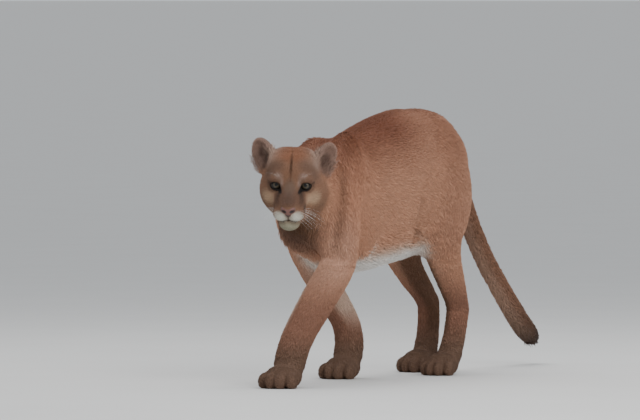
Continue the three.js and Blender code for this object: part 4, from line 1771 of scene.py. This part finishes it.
@dataclass
class Unwrap:
    """An unwrap of the skin's shape: flat charts of each Part from six sides, packed in a square."""

    spread: float = 0.003
    gap: float = 12.0
    rim: float = 0.002
    least: float = 100.0
    most: float = 20000.0
    close: float = 5.0

    def roots(self, points: np.ndarray, normals: np.ndarray, part: np.ndarray) -> np.ndarray:
        """The place of each tuft's root on the unwrap.

        Args:
            points: the roots.
            normals: the skin's normals there.
            part: the number of each root's Part.

        Returns:
            The places in the unit square.
        """
        axis = np.abs(normals).argmax(1)
        back = normals[np.arange(len(points)), axis] < 0
        chart = part * 6 + axis * 2 + back
        flat = np.zeros((len(points), 2))
        sizes = {}
        for number in np.unique(chart):
            mine = chart == number
            across = [a for a in range(3) if a != axis[mine][0]]
            flat[mine] = points[mine][:, across]
            flat[mine] -= flat[mine].min(0)
            sizes[number] = flat[mine].max(0) + self.gap
        order = sorted(sizes, key=lambda n: -sizes[n][1])
        low, high = self.least, self.most
        while high - low > self.close:
            side = (low + high) / 2
            places = self._shelves(order, sizes, side)
            low, high = (side, high) if places is None else (low, side)
        places = self._shelves(order, sizes, high)
        for number, place in places.items():
            flat[chart == number] += place
        return np.clip(flat / high, self.rim, 1 - self.rim)

    def _shelves(
        self, order: list[int], sizes: dict[int, np.ndarray], side: float
    ) -> dict[int, tuple[float, float]] | None:
        """Packs the charts on shelves in a square.

        Args:
            order: the charts, the tallest first.
            sizes: the width and height of each.
            side: the side of the square.

        Returns:
            The place of each chart, or None where they don't fit.
        """
        x = y = shelf = 0.0
        places = {}
        for number in order:
            wide, tall = sizes[number]
            if x + wide > side:
                x, y, shelf = 0.0, y + shelf, 0.0
            if wide > side or y + tall > side:
                return None
            places[number] = (x, y)
            x += wide
            shelf = max(shelf, tall)
        return places


@dataclass(frozen=True)
class Lock:
    """The size of the tufts in one area, in millimetres, with how far they stand out."""

    length: float
    width: float
    lift: float
    gap: float


class Zone(Enum):
    """Areas of the coat, each with its own kind of tuft."""

    BACK = Lock(17, 1.7, 0.19, 3.3)
    BELLY = Lock(26, 1.9, 0.30, 3.5)
    LEG = Lock(14, 1.6, 0.19, 3.1)
    FOOT = Lock(7, 1.4, 0.26, 2.4)
    TAIL = Lock(19, 1.8, 0.27, 3.0)
    NAPE = Lock(13, 1.4, 0.2, 2.7)
    FACE = Lock(7.5, 1.1, 0.16, 1.75)
    MUZZLE = Lock(5.0, 0.9, 0.14, 1.5)
    EAR = Lock(7.0, 1.1, 0.22, 1.9)
    CUP = Lock(17, 1.1, 0.5, 2.6)


@dataclass(frozen=True)
class Blade:
    """The form of one tuft, a bent blade of three sides: shares of its width and of its length."""

    foot: float = 0.42
    waist: float = 0.5
    ridge: float = 0.34
    bend: float = 0.48
    bend_lift: float = 0.62
    tip_lift: float = 0.7
    sunk: float = 0.5
    shades: tuple[float, ...] = (0.8, 0.8, 0.8, 0.98, 0.98, 0.98, 1.1)
    patch: tuple[tuple[int, int], ...] = ((-1, -1), (0, -1), (1, -1), (-1, 0), (0, 0), (1, 0), (0, 1))
    faces: tuple[tuple[int, int, int], ...] = (
        (0, 2, 1), (0, 1, 4), (0, 4, 3), (1, 2, 5), (1, 5, 4),
        (2, 0, 3), (2, 3, 5), (3, 4, 6), (4, 5, 6), (5, 3, 6),
    )

    def corners(self, at: np.ndarray, normal: np.ndarray, way: np.ndarray, size: np.ndarray) -> np.ndarray:
        """The seven corners of each tuft: three at its foot, three at its bend and its tip.

        Args:
            at: the roots.
            normal: the skin's normals.
            way: the lie of the fur.
            size: the length, width and lift of each tuft.

        Returns:
            The corners, as tufts by corners by three.
        """
        long, wide, lift = size[:, :1], size[:, 1:2], size[:, 2:]
        side = np.cross(way, normal)
        root = at - normal * self.sunk
        middle = at + way * long * self.bend + normal * long * lift * self.bend_lift
        tip = at + way * long + normal * long * lift * self.tip_lift
        rise = normal * wide * self.ridge
        foot, waist = side * wide * self.foot, side * wide * self.waist
        rows = [root - foot, root + rise, root + foot, middle - waist, middle + rise, middle + waist, tip]
        return np.stack(rows, 1)


@dataclass
class Coat:
    """The coat: solid tufts over the whole skin, in pieces by area."""

    CELLS = 4001

    skin: Skin
    blade: Blade = Blade()
    seed: int = 41
    blend: float = 32.0
    finish: FurFinish = FurFinish("coat_fur", mottle=0.1, hair=0.0003)
    most: int = 19000
    crowd: float = 2.2
    sway: float = 0.16
    vary: float = 0.065

    def zones(self, points: np.ndarray, normals: np.ndarray, shares: np.ndarray) -> np.ndarray:
        """The Zone of each point, as its place in the list of zones.

        Args:
            points: points on the skin.
            normals: its normals there.
            shares: how much each belongs to each Part.

        Returns:
            The numbers.
        """
        number = {zone: i for i, zone in enumerate(Zone)}
        animal = self.skin.animal
        part = shares.argmax(1)
        z = points[:, 2]
        q = animal.head.local(points)
        zone = np.full(len(points), number[Zone.BACK])
        leg = (part >= Part.LEFT_FORE.value) & (part <= Part.RIGHT_HIND.value)
        zone[leg & (z < 300)] = number[Zone.LEG]
        zone[(leg & (z < 80)) | ((z < 60) & (part != Part.TAIL.value))] = number[Zone.FOOT]
        zone[(part == Part.TRUNK.value) & (normals[:, 2] < -0.35)] = number[Zone.BELLY]
        zone[(part == Part.NECK.value) & (normals[:, 2] < -0.3)] = number[Zone.BELLY]
        zone[part == Part.TAIL.value] = number[Zone.TAIL]
        head = part == Part.HEAD.value
        zone[head] = number[Zone.NAPE]
        zone[head & (q[:, 0] > -34)] = number[Zone.FACE]
        zone[head & (q[:, 0] > 30) & (np.abs(q[:, 1]) < 48)] = number[Zone.MUZZLE]
        for side, name in ((LEFT, Part.LEFT_EAR), (RIGHT, Part.RIGHT_EAR)):
            ear = animal.ears[side]
            e = ear.local(q)
            n = (normals @ animal.head.turn) @ ear.axes
            mine = part == name.value
            zone[mine] = number[Zone.EAR]
            zone[mine & (n[:, 0] > 0.1) & (e[:, 2] < 30)] = number[Zone.CUP]
        return zone

    def lie(self, points: np.ndarray, normals: np.ndarray, shares: np.ndarray) -> np.ndarray:
        """The way the fur lies at each point, along the skin.

        Args:
            points: points on the skin.
            normals: its normals there.
            shares: how much each belongs to each Part.

        Returns:
            Unit vectors.
        """
        animal = self.skin.animal
        way = np.zeros_like(points)
        broad = animal.weights(points, self.blend)
        for part, limb in zip(Part, animal.limbs):
            way += limb.along(points) * broad[:, part.value, None]
        trunk = shares[:, Part.TRUNK.value] + shares[:, Part.NECK.value]
        way[:, 2] -= 0.45 * trunk * (1 - np.abs(normals[:, 2]))
        q = animal.head.local(points)
        back = unit(q - np.array([104, 0, -36]))
        back[:, 0] -= 0.35
        way += (back @ animal.head.turn.T) * shares[:, Part.HEAD.value, None]
        for side, part in ((LEFT, Part.LEFT_EAR), (RIGHT, Part.RIGHT_EAR)):
            ear = animal.ears[side]
            e = ear.local(q)
            tip = np.stack([np.full(len(e), -0.1), e[:, 1] * 0.014, np.ones(len(e))], 1)
            way += ((tip @ ear.axes.T) @ animal.head.turn.T) * 1.5 * shares[:, part.value, None]
        foot = ramp(points[:, 2], 74, 44) * (shares[:, Part.TAIL.value] < 0.5)
        way = lean(way, np.array([[-1.0, 0.05, -0.35]]), foot)
        way -= normals * (way * normals).sum(1, keepdims=True)
        return unit(way)

    def roots(
        self, net: Net, rng: np.random.Generator
    ) -> tuple[np.ndarray, np.ndarray, np.ndarray, np.ndarray]:
        """Spreads roots evenly over the skin.

        Args:
            net: the skin.
            rng: the seeded draw.

        Returns:
            The roots, the normals, the shares of the Parts and the zones.
        """
        a, b, c = (net.corners[net.faces[:, i]] for i in range(3))
        area = np.linalg.norm(np.cross(b - a, c - a), axis=1) / 2
        smooth = net.normals()
        middle = (a + b + c) / 3
        flat = unit(smooth[net.faces].mean(1))
        shares = self.skin.animal.weights(middle)
        zone = self.zones(middle, flat, shares)
        gap = np.array([z.value.gap for z in Zone])[zone]
        count = rng.poisson(area / gap**2 * self.crowd)
        face = np.repeat(np.arange(len(count)), count)
        u, v = rng.random(len(face)), rng.random(len(face))
        over = u + v > 1
        u, v = np.where(over, 1 - u, u), np.where(over, 1 - v, v)
        at = a[face] + (b - a)[face] * u[:, None] + (c - a)[face] * v[:, None]
        cell = np.floor(at / gap[face, None]).astype(np.int64)
        key = ((cell[:, 0] * self.CELLS + cell[:, 1]) * self.CELLS + cell[:, 2]) * 16 + zone[face]
        _, first = np.unique(key, return_index=True)
        face, at = face[first], at[first]
        normal = unit(
            smooth[net.faces[face, 0]] * (1 - u - v)[first, None]
            + smooth[net.faces[face, 1]] * u[first, None]
            + smooth[net.faces[face, 2]] * v[first, None]
        )
        keep = self._furred(at)
        return at[keep], normal[keep], self.skin.animal.weights(at[keep]), zone[face][keep]

    def _furred(self, points: np.ndarray) -> np.ndarray:
        """Where fur grows: not on the lids' edge, the lips, the nose or the soles.

        Args:
            points: points on the skin.

        Returns:
            True for each point with fur.
        """
        animal = self.skin.animal
        q = animal.head.local(points)
        front = (q[:, 0] > 2) & (np.linalg.norm(q, axis=1) < animal.FACE_REACH)
        lids = np.minimum(*(animal.eyes.almond(q, s) for s in (LEFT, RIGHT))) < 2.6
        lips = (np.abs(animal.above_mouth(q)) < 1.6) & (q[:, 0] > 20)
        pad = (q[:, 0] > 74) & (np.abs(q[:, 1]) < 17) & (q[:, 2] > -48) & (q[:, 2] < -28)
        return ~(front & (lids | lips | pad)) & (points[:, 2] > 3)

    def build(self, shop: Workshop, net: Net, markings: Markings) -> None:
        """Makes the pieces of the coat.

        Args:
            shop: what makes the pieces.
            net: the skin.
            markings: the colours.
        """
        rng = np.random.default_rng(self.seed)
        at, normal, shares, zone = self.roots(net, rng)
        log.info("%d tufts", len(at))
        colours = markings.colours(at, normal, shares)
        way = self.lie(at, normal, shares)
        part = shares.argmax(1)
        uv = Unwrap().roots(at, normal, part)
        material = self.finish.material()
        for name, mine in self._areas(at, part):
            pieces = max(1, math.ceil(mine.sum() / self.most))
            order = np.where(mine)[0][np.argsort(at[mine][:, 0])]
            for i, chosen in enumerate(np.array_split(order, pieces)):
                label = f"coat_{name}" if pieces == 1 else f"coat_{name}_{i + 1}"
                own = (rows[chosen] for rows in (at, normal, way, zone, colours))
                tufts, shades = self._locks(*own, rng)
                thing = shop.piece(label, tufts, shades, material)
                self._patches(thing, uv[chosen])

    def _areas(self, at: np.ndarray, part: np.ndarray) -> list[tuple[str, np.ndarray]]:
        """The pieces of the coat, each a name and which tufts it holds.

        Args:
            at: the roots of the tufts.
            part: the number of the Part of each.

        Returns:
            The names with their tufts.
        """
        x = at[:, 0]
        head = part >= Part.HEAD.value
        fore = (part == Part.LEFT_FORE.value) | (part == Part.RIGHT_FORE.value)
        hind = (part == Part.LEFT_HIND.value) | (part == Part.RIGHT_HIND.value)
        trunk = part == Part.TRUNK.value
        return [
            ("head", head),
            ("neck", part == Part.NECK.value),
            ("forelegs", fore),
            ("hindlegs", hind),
            ("tail", part == Part.TAIL.value),
            ("chest", trunk & (x < -180)),
            ("loin", trunk & (x >= -180) & (x < 60)),
            ("rump", trunk & (x >= 60)),
        ]

    def _locks(
        self,
        at: np.ndarray,
        normal: np.ndarray,
        way: np.ndarray,
        zone: np.ndarray,
        colours: np.ndarray,
        rng: np.random.Generator,
    ) -> tuple[Net, np.ndarray]:
        """Shapes the tufts, each with its own size, sway and shade.

        Args:
            at: the roots.
            normal: the skin's normals.
            way: the lie of the fur.
            zone: the zones.
            colours: the coat's colour at each root.
            rng: the seeded draw.

        Returns:
            The net of all the tufts and the colour of each corner.
        """
        count = len(at)
        size = np.array([[z.value.length, z.value.width, z.value.lift] for z in Zone])[zone]
        for column, (least, most) in enumerate(((0.72, 1.25), (0.7, 1.25), (0.6, 1.35))):
            size[:, column] *= rng.uniform(least, most, count)
        way = unit(way + np.cross(way, normal) * rng.normal(0, self.sway, count)[:, None])
        corners = self.blade.corners(at, normal, way, size)
        corners[:, :, 2] = np.maximum(corners[:, :, 2], FLOOR_GAP)
        first = corners.shape[1] * np.arange(count)
        faces = np.array(self.blade.faces)[None] + first[:, None, None]
        vary = np.exp(rng.normal(0, self.vary, count))[:, None, None]
        shade = colours[:, None, :] * vary * np.array(self.blade.shades)[None, :, None]
        net = Net(corners.reshape(-1, 3), faces.reshape(-1, 3))
        return net, np.clip(shade.reshape(-1, 3), 0, 1)

    def _patches(self, thing: bpy.types.Object, uv: np.ndarray) -> None:
        """Gives each tuft its small patch on the unwrap.

        Args:
            thing: the piece.
            uv: the place of each tuft's root.
        """
        own = np.array(self.blade.patch) * (Unwrap.spread / 2)
        places = (uv[:, None, :] + own[None]).reshape(-1, 2)
        mesh = thing.data
        corner = np.zeros(len(mesh.loops), np.int32)
        mesh.loops.foreach_get("vertex_index", corner)
        layer = mesh.uv_layers.new(name="OFBake")
        layer.data.foreach_set("uv", places[corner].astype(np.float32).ravel())


@dataclass
class Eyeball:
    """One eye: a ball with a slight cornea, its pupil and its streaked iris."""

    side: int
    name: str
    animal: Animal
    pupil: float = 14.0
    iris: float = 40.0
    cornea: float = 0.9
    rings: int = 60
    spokes: int = 120
    drawn: float = 112.0
    gaze: tuple[float, float, float] = (0.955, 0.03, 0.26)

    def build(self, shop: Workshop, material: bpy.types.Material) -> None:
        """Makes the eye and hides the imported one.

        Args:
            shop: what makes the piece.
            material: its finish.
        """
        radius = self.animal.eyes.radius
        turn = np.linspace(0, 1, self.rings + 1)[1:] ** 1.4 * self.drawn
        angle = np.linspace(0, 2 * math.pi, self.spokes, endpoint=False)
        t, s = np.meshgrid(np.radians(turn), angle, indexing="ij")
        out = radius + self.cornea * ramp(np.degrees(t), 44, 12)
        ball = np.stack([np.cos(t) * out, np.sin(t) * np.cos(s) * out, np.sin(t) * np.sin(s) * out], -1)
        corners = np.concatenate([[[radius + self.cornea, 0, 0]], ball.reshape(-1, 3), [[-radius, 0, 0]]])
        faces = []
        for k in range(self.spokes):
            faces.append((0, 1 + k, 1 + (k + 1) % self.spokes))
            for r in range(self.rings - 1):
                a, b = 1 + r * self.spokes + k, 1 + r * self.spokes + (k + 1) % self.spokes
                faces += [(a, a + self.spokes, b + self.spokes), (a, b + self.spokes, b)]
            end = 1 + (self.rings - 1) * self.spokes
            faces.append((end + k, len(corners) - 1, end + (k + 1) % self.spokes))
        ahead = unit(np.array(self.gaze))
        across = unit(np.cross((0, 0, 1), ahead))
        axes = np.stack([ahead, across, np.cross(ahead, across)], 1)
        local = corners @ axes.T + self.animal.eyes.centre(self.side)
        net = Net(self.animal.head.placed(local), np.array(faces))
        thing = shop.piece(self.name, net, self._colours(corners), material)
        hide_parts(self.name)

    def _colours(self, corners: np.ndarray) -> np.ndarray:
        """The colour of each corner by its angle from the axis of the eye.

        Args:
            corners: the corners in the frame of the eye.

        Returns:
            The colours, in shader numbers.
        """
        rng = np.random.default_rng(7)
        off = np.degrees(np.arccos(np.clip(unit(corners)[:, 0], -1, 1)))
        round_at = np.arctan2(corners[:, 2], corners[:, 1])
        streak = sum(np.cos(round_at * n + rng.uniform(0, 6)) for n in (7, 13, 19, 29, 41)) / 5
        edge = ramp(off, self.pupil, self.iris - 6)
        paint = lean(Hue.IRIS.colour()[None], Hue.IRIS_EDGE.colour()[None], edge)
        paint = paint * (1 + 0.25 * streak)[:, None]
        paint = laid(paint, Hue.IRIS_RING, ramp(off, self.iris - 7, self.iris - 1))
        paint = laid(paint, Hue.EYE_WHITE, 0.5 * ramp(off, self.iris + 2, self.iris + 14))
        return laid(paint, Hue.PUPIL, ramp(off, self.pupil + 1.5, self.pupil - 1.5))


@dataclass
class NosePad:
    """The bare pad of the nose with its two nostrils."""

    animal: Animal
    voxel: float = 0.0009
    rounds: int = 4

    def shape(self) -> tuple[Joined, list[Shape]]:
        """The pad's own form and the nostrils that are cut from it.

        Returns:
            The form, and the two nostrils.
        """
        pad = Joined([
            (Blob((82, 0, -35), (10, 13.5, 8), (0, 24, 0)), 1),
            *pair((83, 9.5, -38), (8, 8.5, 8.5), (0, 20, 20), 6),
            (Blob((85, 0, -46), (7, 6.5, 9), (0, -10, 0)), 8),
        ])
        nostrils = [shape for shape, _ in pair((93, 8.6, -40.5), (9, 3.2, 2.6), (30, 0, -30), 1)]
        return pad, nostrils

    def build(self, shop: Workshop, material: bpy.types.Material) -> None:
        """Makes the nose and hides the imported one.

        Args:
            shop: what makes the piece.
            material: its finish.
        """
        pad, nostrils = self.shape()

        class Nose(Shape):
            """The pad with its nostrils and the groove between them."""

            def distance(self, points: np.ndarray) -> np.ndarray:
                """How far each point lies from the nose.

                Args:
                    points: the points.

                Returns:
                    The distances, less than nothing inside.
                """
                d = pad.distance(points)
                groove = np.maximum.reduce([np.abs(points[:, 1]) - 0.4, -(d + 0.9), points[:, 2] + 36])
                d = smooth_max(d, -groove, 1.2)
                for nostril in nostrils:
                    d = smooth_max(d, -nostril.distance(points), 1.2)
                return d

        nose = Nose()
        net = shop.remeshed(["nose"], self.voxel).largest()
        local = self.animal.head.local(net.corners)
        for _ in range(self.rounds):
            d, slope = nose.slope(local, 0.15)
            local += slope * np.clip(-d / np.maximum((slope**2).sum(1), 0.2), -1, 1)[:, None]
        deep = pad.distance(local)
        hole = np.minimum(*(nostril.distance(local) for nostril in nostrils))
        paint = np.repeat(Hue.NOSE.colour()[None], len(local), 0)
        edge = np.clip(ramp(local[:, 2], -32, -26) + ramp(np.abs(local[:, 1]), 13, 18), 0, 1)
        paint = laid(paint, Hue.SMOKE, 0.7 * edge)
        # Painted shade, darker the deeper the nose is cut: inside the nostrils and the groove.
        paint = laid(paint, Hue.NOSTRIL, np.clip(ramp(hole, 2.2, 0.4) + ramp(deep, -0.8, -2), 0, 1))
        paint = laid(paint, Hue.LIP, 0.8 * ramp(local[:, 2], -46, -51))
        placed = Net(self.animal.head.placed(local), net.faces)
        thing = shop.piece("nose_pad", placed, paint, material)
        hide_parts("nose")


@dataclass
class Whiskers:
    """The stiff hairs of the upper lip and the brows, tapered to their ends."""

    animal: Animal
    rows: int = 4
    each: int = 5
    brows: int = 3
    thick: float = 0.14
    longest: float = 58.0
    steps: int = 12
    sides: int = 5

    def build(self, shop: Workshop, material: bpy.types.Material) -> None:
        """Makes the whiskers.

        Args:
            shop: what makes the piece.
            material: their finish.
        """
        rng = np.random.default_rng(5)
        nets = []
        for side in (LEFT, RIGHT):
            for row in range(self.rows):
                for i in range(self.each):
                    root = np.array([74 - 7.5 * i, side * (24 + 3.4 * i), -47 - 5.2 * row + 0.6 * i])
                    way = np.array([0.25 - 0.2 * i, side * 1.0, -0.15 - 0.16 * row])
                    long = self.longest * (0.55 + 0.1 * i) * rng.uniform(0.85, 1.1)
                    nets.append(self._hair(root, unit(way + rng.normal(0, 0.07, 3)), long, side))
            for i in range(self.brows):
                root = np.array([14, side * (28 + 4 * i), 23 + 1.5 * i])
                way = np.array([0.7, side * (0.2 + 0.3 * i), 1.0])
                nets.append(self._hair(root, unit(way), 34 + 4 * i, side))
        start = np.cumsum([0, *(len(n.corners) for n in nets[:-1])])
        corners = np.concatenate([n.corners for n in nets])
        net = Net(corners, np.concatenate([n.faces + s for n, s in zip(nets, start)]))
        paint = np.ones((len(net.corners), 3))
        shop.piece("whiskers", net, paint, material)

    def _hair(self, root: np.ndarray, way: np.ndarray, long: float, side: int) -> Net:
        """One whisker from its root on the skin.

        Args:
            root: near its root, in the head's frame.
            way: the way it starts.
            long: its length.
            side: LEFT or RIGHT.

        Returns:
            Its closed tube.
        """
        at = self.animal.head.placed(root[None])
        for _ in range(4):
            d, slope = Shape.slope(self.animal.base, at)
            at = at - slope * (d + 1.5)[:, None]
        root = self.animal.head.local(at)[0]
        t = np.linspace(0, 1, self.steps)[:, None]
        sag = np.array([-0.28, side * 0.05, -0.42])
        line = root + way * long * t + sag * long * t**2
        along = unit(np.gradient(line, axis=0))
        over = unit(np.cross(along, (1.0, 0.2, 0.3)))
        across = np.cross(along, over)
        thick = self.thick * (1 - 0.88 * t)
        angle = np.linspace(0, 2 * math.pi, self.sides, endpoint=False)
        ring = over[:, None] * np.cos(angle)[None, :, None] + across[:, None] * np.sin(angle)[None, :, None]
        corners = (line[:, None] + ring * thick[:, :, None]).reshape(-1, 3)
        corners = np.concatenate([corners, line[:1], line[-1:]])
        faces = []
        for k in range(self.sides):
            n = (k + 1) % self.sides
            for s in range(self.steps - 1):
                a, b = s * self.sides, (s + 1) * self.sides
                faces += [(a + k, a + n, b + n), (a + k, b + n, b + k)]
            end = (self.steps - 1) * self.sides
            faces += [(len(corners) - 2, n, k), (len(corners) - 1, end + k, end + n)]
        return Net(self.animal.head.placed(corners), np.array(faces))


def stood(side: np.ndarray, up: np.ndarray, back: np.ndarray, at: np.ndarray) -> Matrix:
    """The matrix of a camera or a light.

    Args:
        side: the way its right side faces.
        up: the way its top faces.
        back: the way its back faces.
        at: where it stands, in metres.

    Returns:
        The 4 by 4 matrix.
    """
    turn = np.eye(4)
    turn[:3, :3] = np.stack([side, up, back], 1)
    turn[:3, 3] = at
    return Matrix(turn.tolist())


@dataclass(frozen=True)
class Lamp:
    """A soft square light that faces the animal."""

    name: str
    at: tuple[float, float, float]
    size: float
    power: float
    target: tuple[float, float, float] = (-0.1, 0.0, 0.35)

    def build(self) -> None:
        """Hangs the light."""
        data = bpy.data.lights.new(self.name, "AREA")
        data.energy = self.power
        data.size = self.size
        light = bpy.data.objects.new(self.name, data)
        back = unit(np.array(self.at) - np.array(self.target))
        side = unit(np.cross((0, 0, 1), back))
        light.matrix_world = stood(side, np.cross(back, side), back, np.array(self.at))
        bpy.context.scene.collection.objects.link(light)


@dataclass
class Studio:
    """The plain floor, the soft lights and the camera at the photo's viewing angle."""

    azimuth: float = -60.0
    elevation: float = 1.5
    away: float = 20.0
    aside: float = 0.195
    height: float = 0.415
    lens: float = 450.0
    sensor: float = 36.0
    floor: float = 20000.0
    sky: tuple[float, float, float, float] = (0.86, 0.9, 0.95, 1)
    sky_strength: float = 0.85
    lamps: tuple[Lamp, ...] = (
        Lamp("key", (-2.6, -3.2, 2.6), 2.4, 120.0),
        Lamp("top", (0.4, 0.6, 3.6), 3.0, 80.0),
        Lamp("fill", (2.8, -3.0, 1.2), 2.6, 24.0),
    )

    def build(self, frame: Frame) -> None:
        """Sets up the floor, the lights and the camera.

        Args:
            frame: where the animal's own frame lies.
        """
        self._floor()
        self._sky()
        for lamp in self.lamps:
            lamp.build()
        az, el = math.radians(self.azimuth), math.radians(self.elevation)
        back = np.array([math.sin(az) * math.cos(el), -math.cos(az) * math.cos(el), math.sin(el)])
        right = unit(np.cross((0, 0, 1), back))
        up = np.cross(back, right)
        eye = back * self.away - right * self.aside + up * self.height + frame.shift / MM_PER_METRE
        camera = bpy.data.objects.new("camera", bpy.data.cameras.new("camera"))
        camera.data.lens = self.lens
        camera.data.sensor_width = self.sensor
        camera.data.clip_end = 2.0 * self.floor
        camera.matrix_world = stood(right, up, back, eye)
        bpy.context.scene.collection.objects.link(camera)
        bpy.context.scene.camera = camera

    def _floor(self) -> None:
        """Lays the floor."""
        mesh = bpy.data.meshes.new("floor")
        s = self.floor
        mesh.from_pydata([(-s, -s, 0), (s, -s, 0), (s, s, 0), (-s, s, 0)], [], [(0, 1, 2, 3)])
        mesh.materials.append(FloorFinish().material())
        floor = bpy.data.objects.new("floor", mesh)
        bpy.context.scene.collection.objects.link(floor)

    def _sky(self) -> None:
        """Lights the room evenly."""
        world = bpy.data.worlds.new("studio")
        world.use_nodes = True
        sky = world.node_tree.nodes["Background"]
        sky.inputs["Color"].default_value = self.sky
        sky.inputs["Strength"].default_value = self.sky_strength
        bpy.context.scene.world = world


def main() -> None:
    """Builds the dressed animal in its studio."""
    logging.basicConfig(level=logging.INFO, format="%(message)s", stream=sys.stdout)
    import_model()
    animal = Animal()
    frame = Frame.found(animal)
    shop = Workshop(frame)
    skin = Skin(animal)
    markings = Markings(animal)
    Studio().build(frame)
    net = Hide(skin).build(shop, markings)
    Coat(skin).build(shop, net, markings)
    wet = EyeFinish().material()
    Eyeball(LEFT, "left_eye", animal).build(shop, wet)
    Eyeball(RIGHT, "right_eye", animal).build(shop, wet)
    NosePad(animal).build(shop, LeatherFinish().material())
    Whiskers(animal).build(shop, WhiskerFinish().material())


if __name__ == "__main__":
    main()
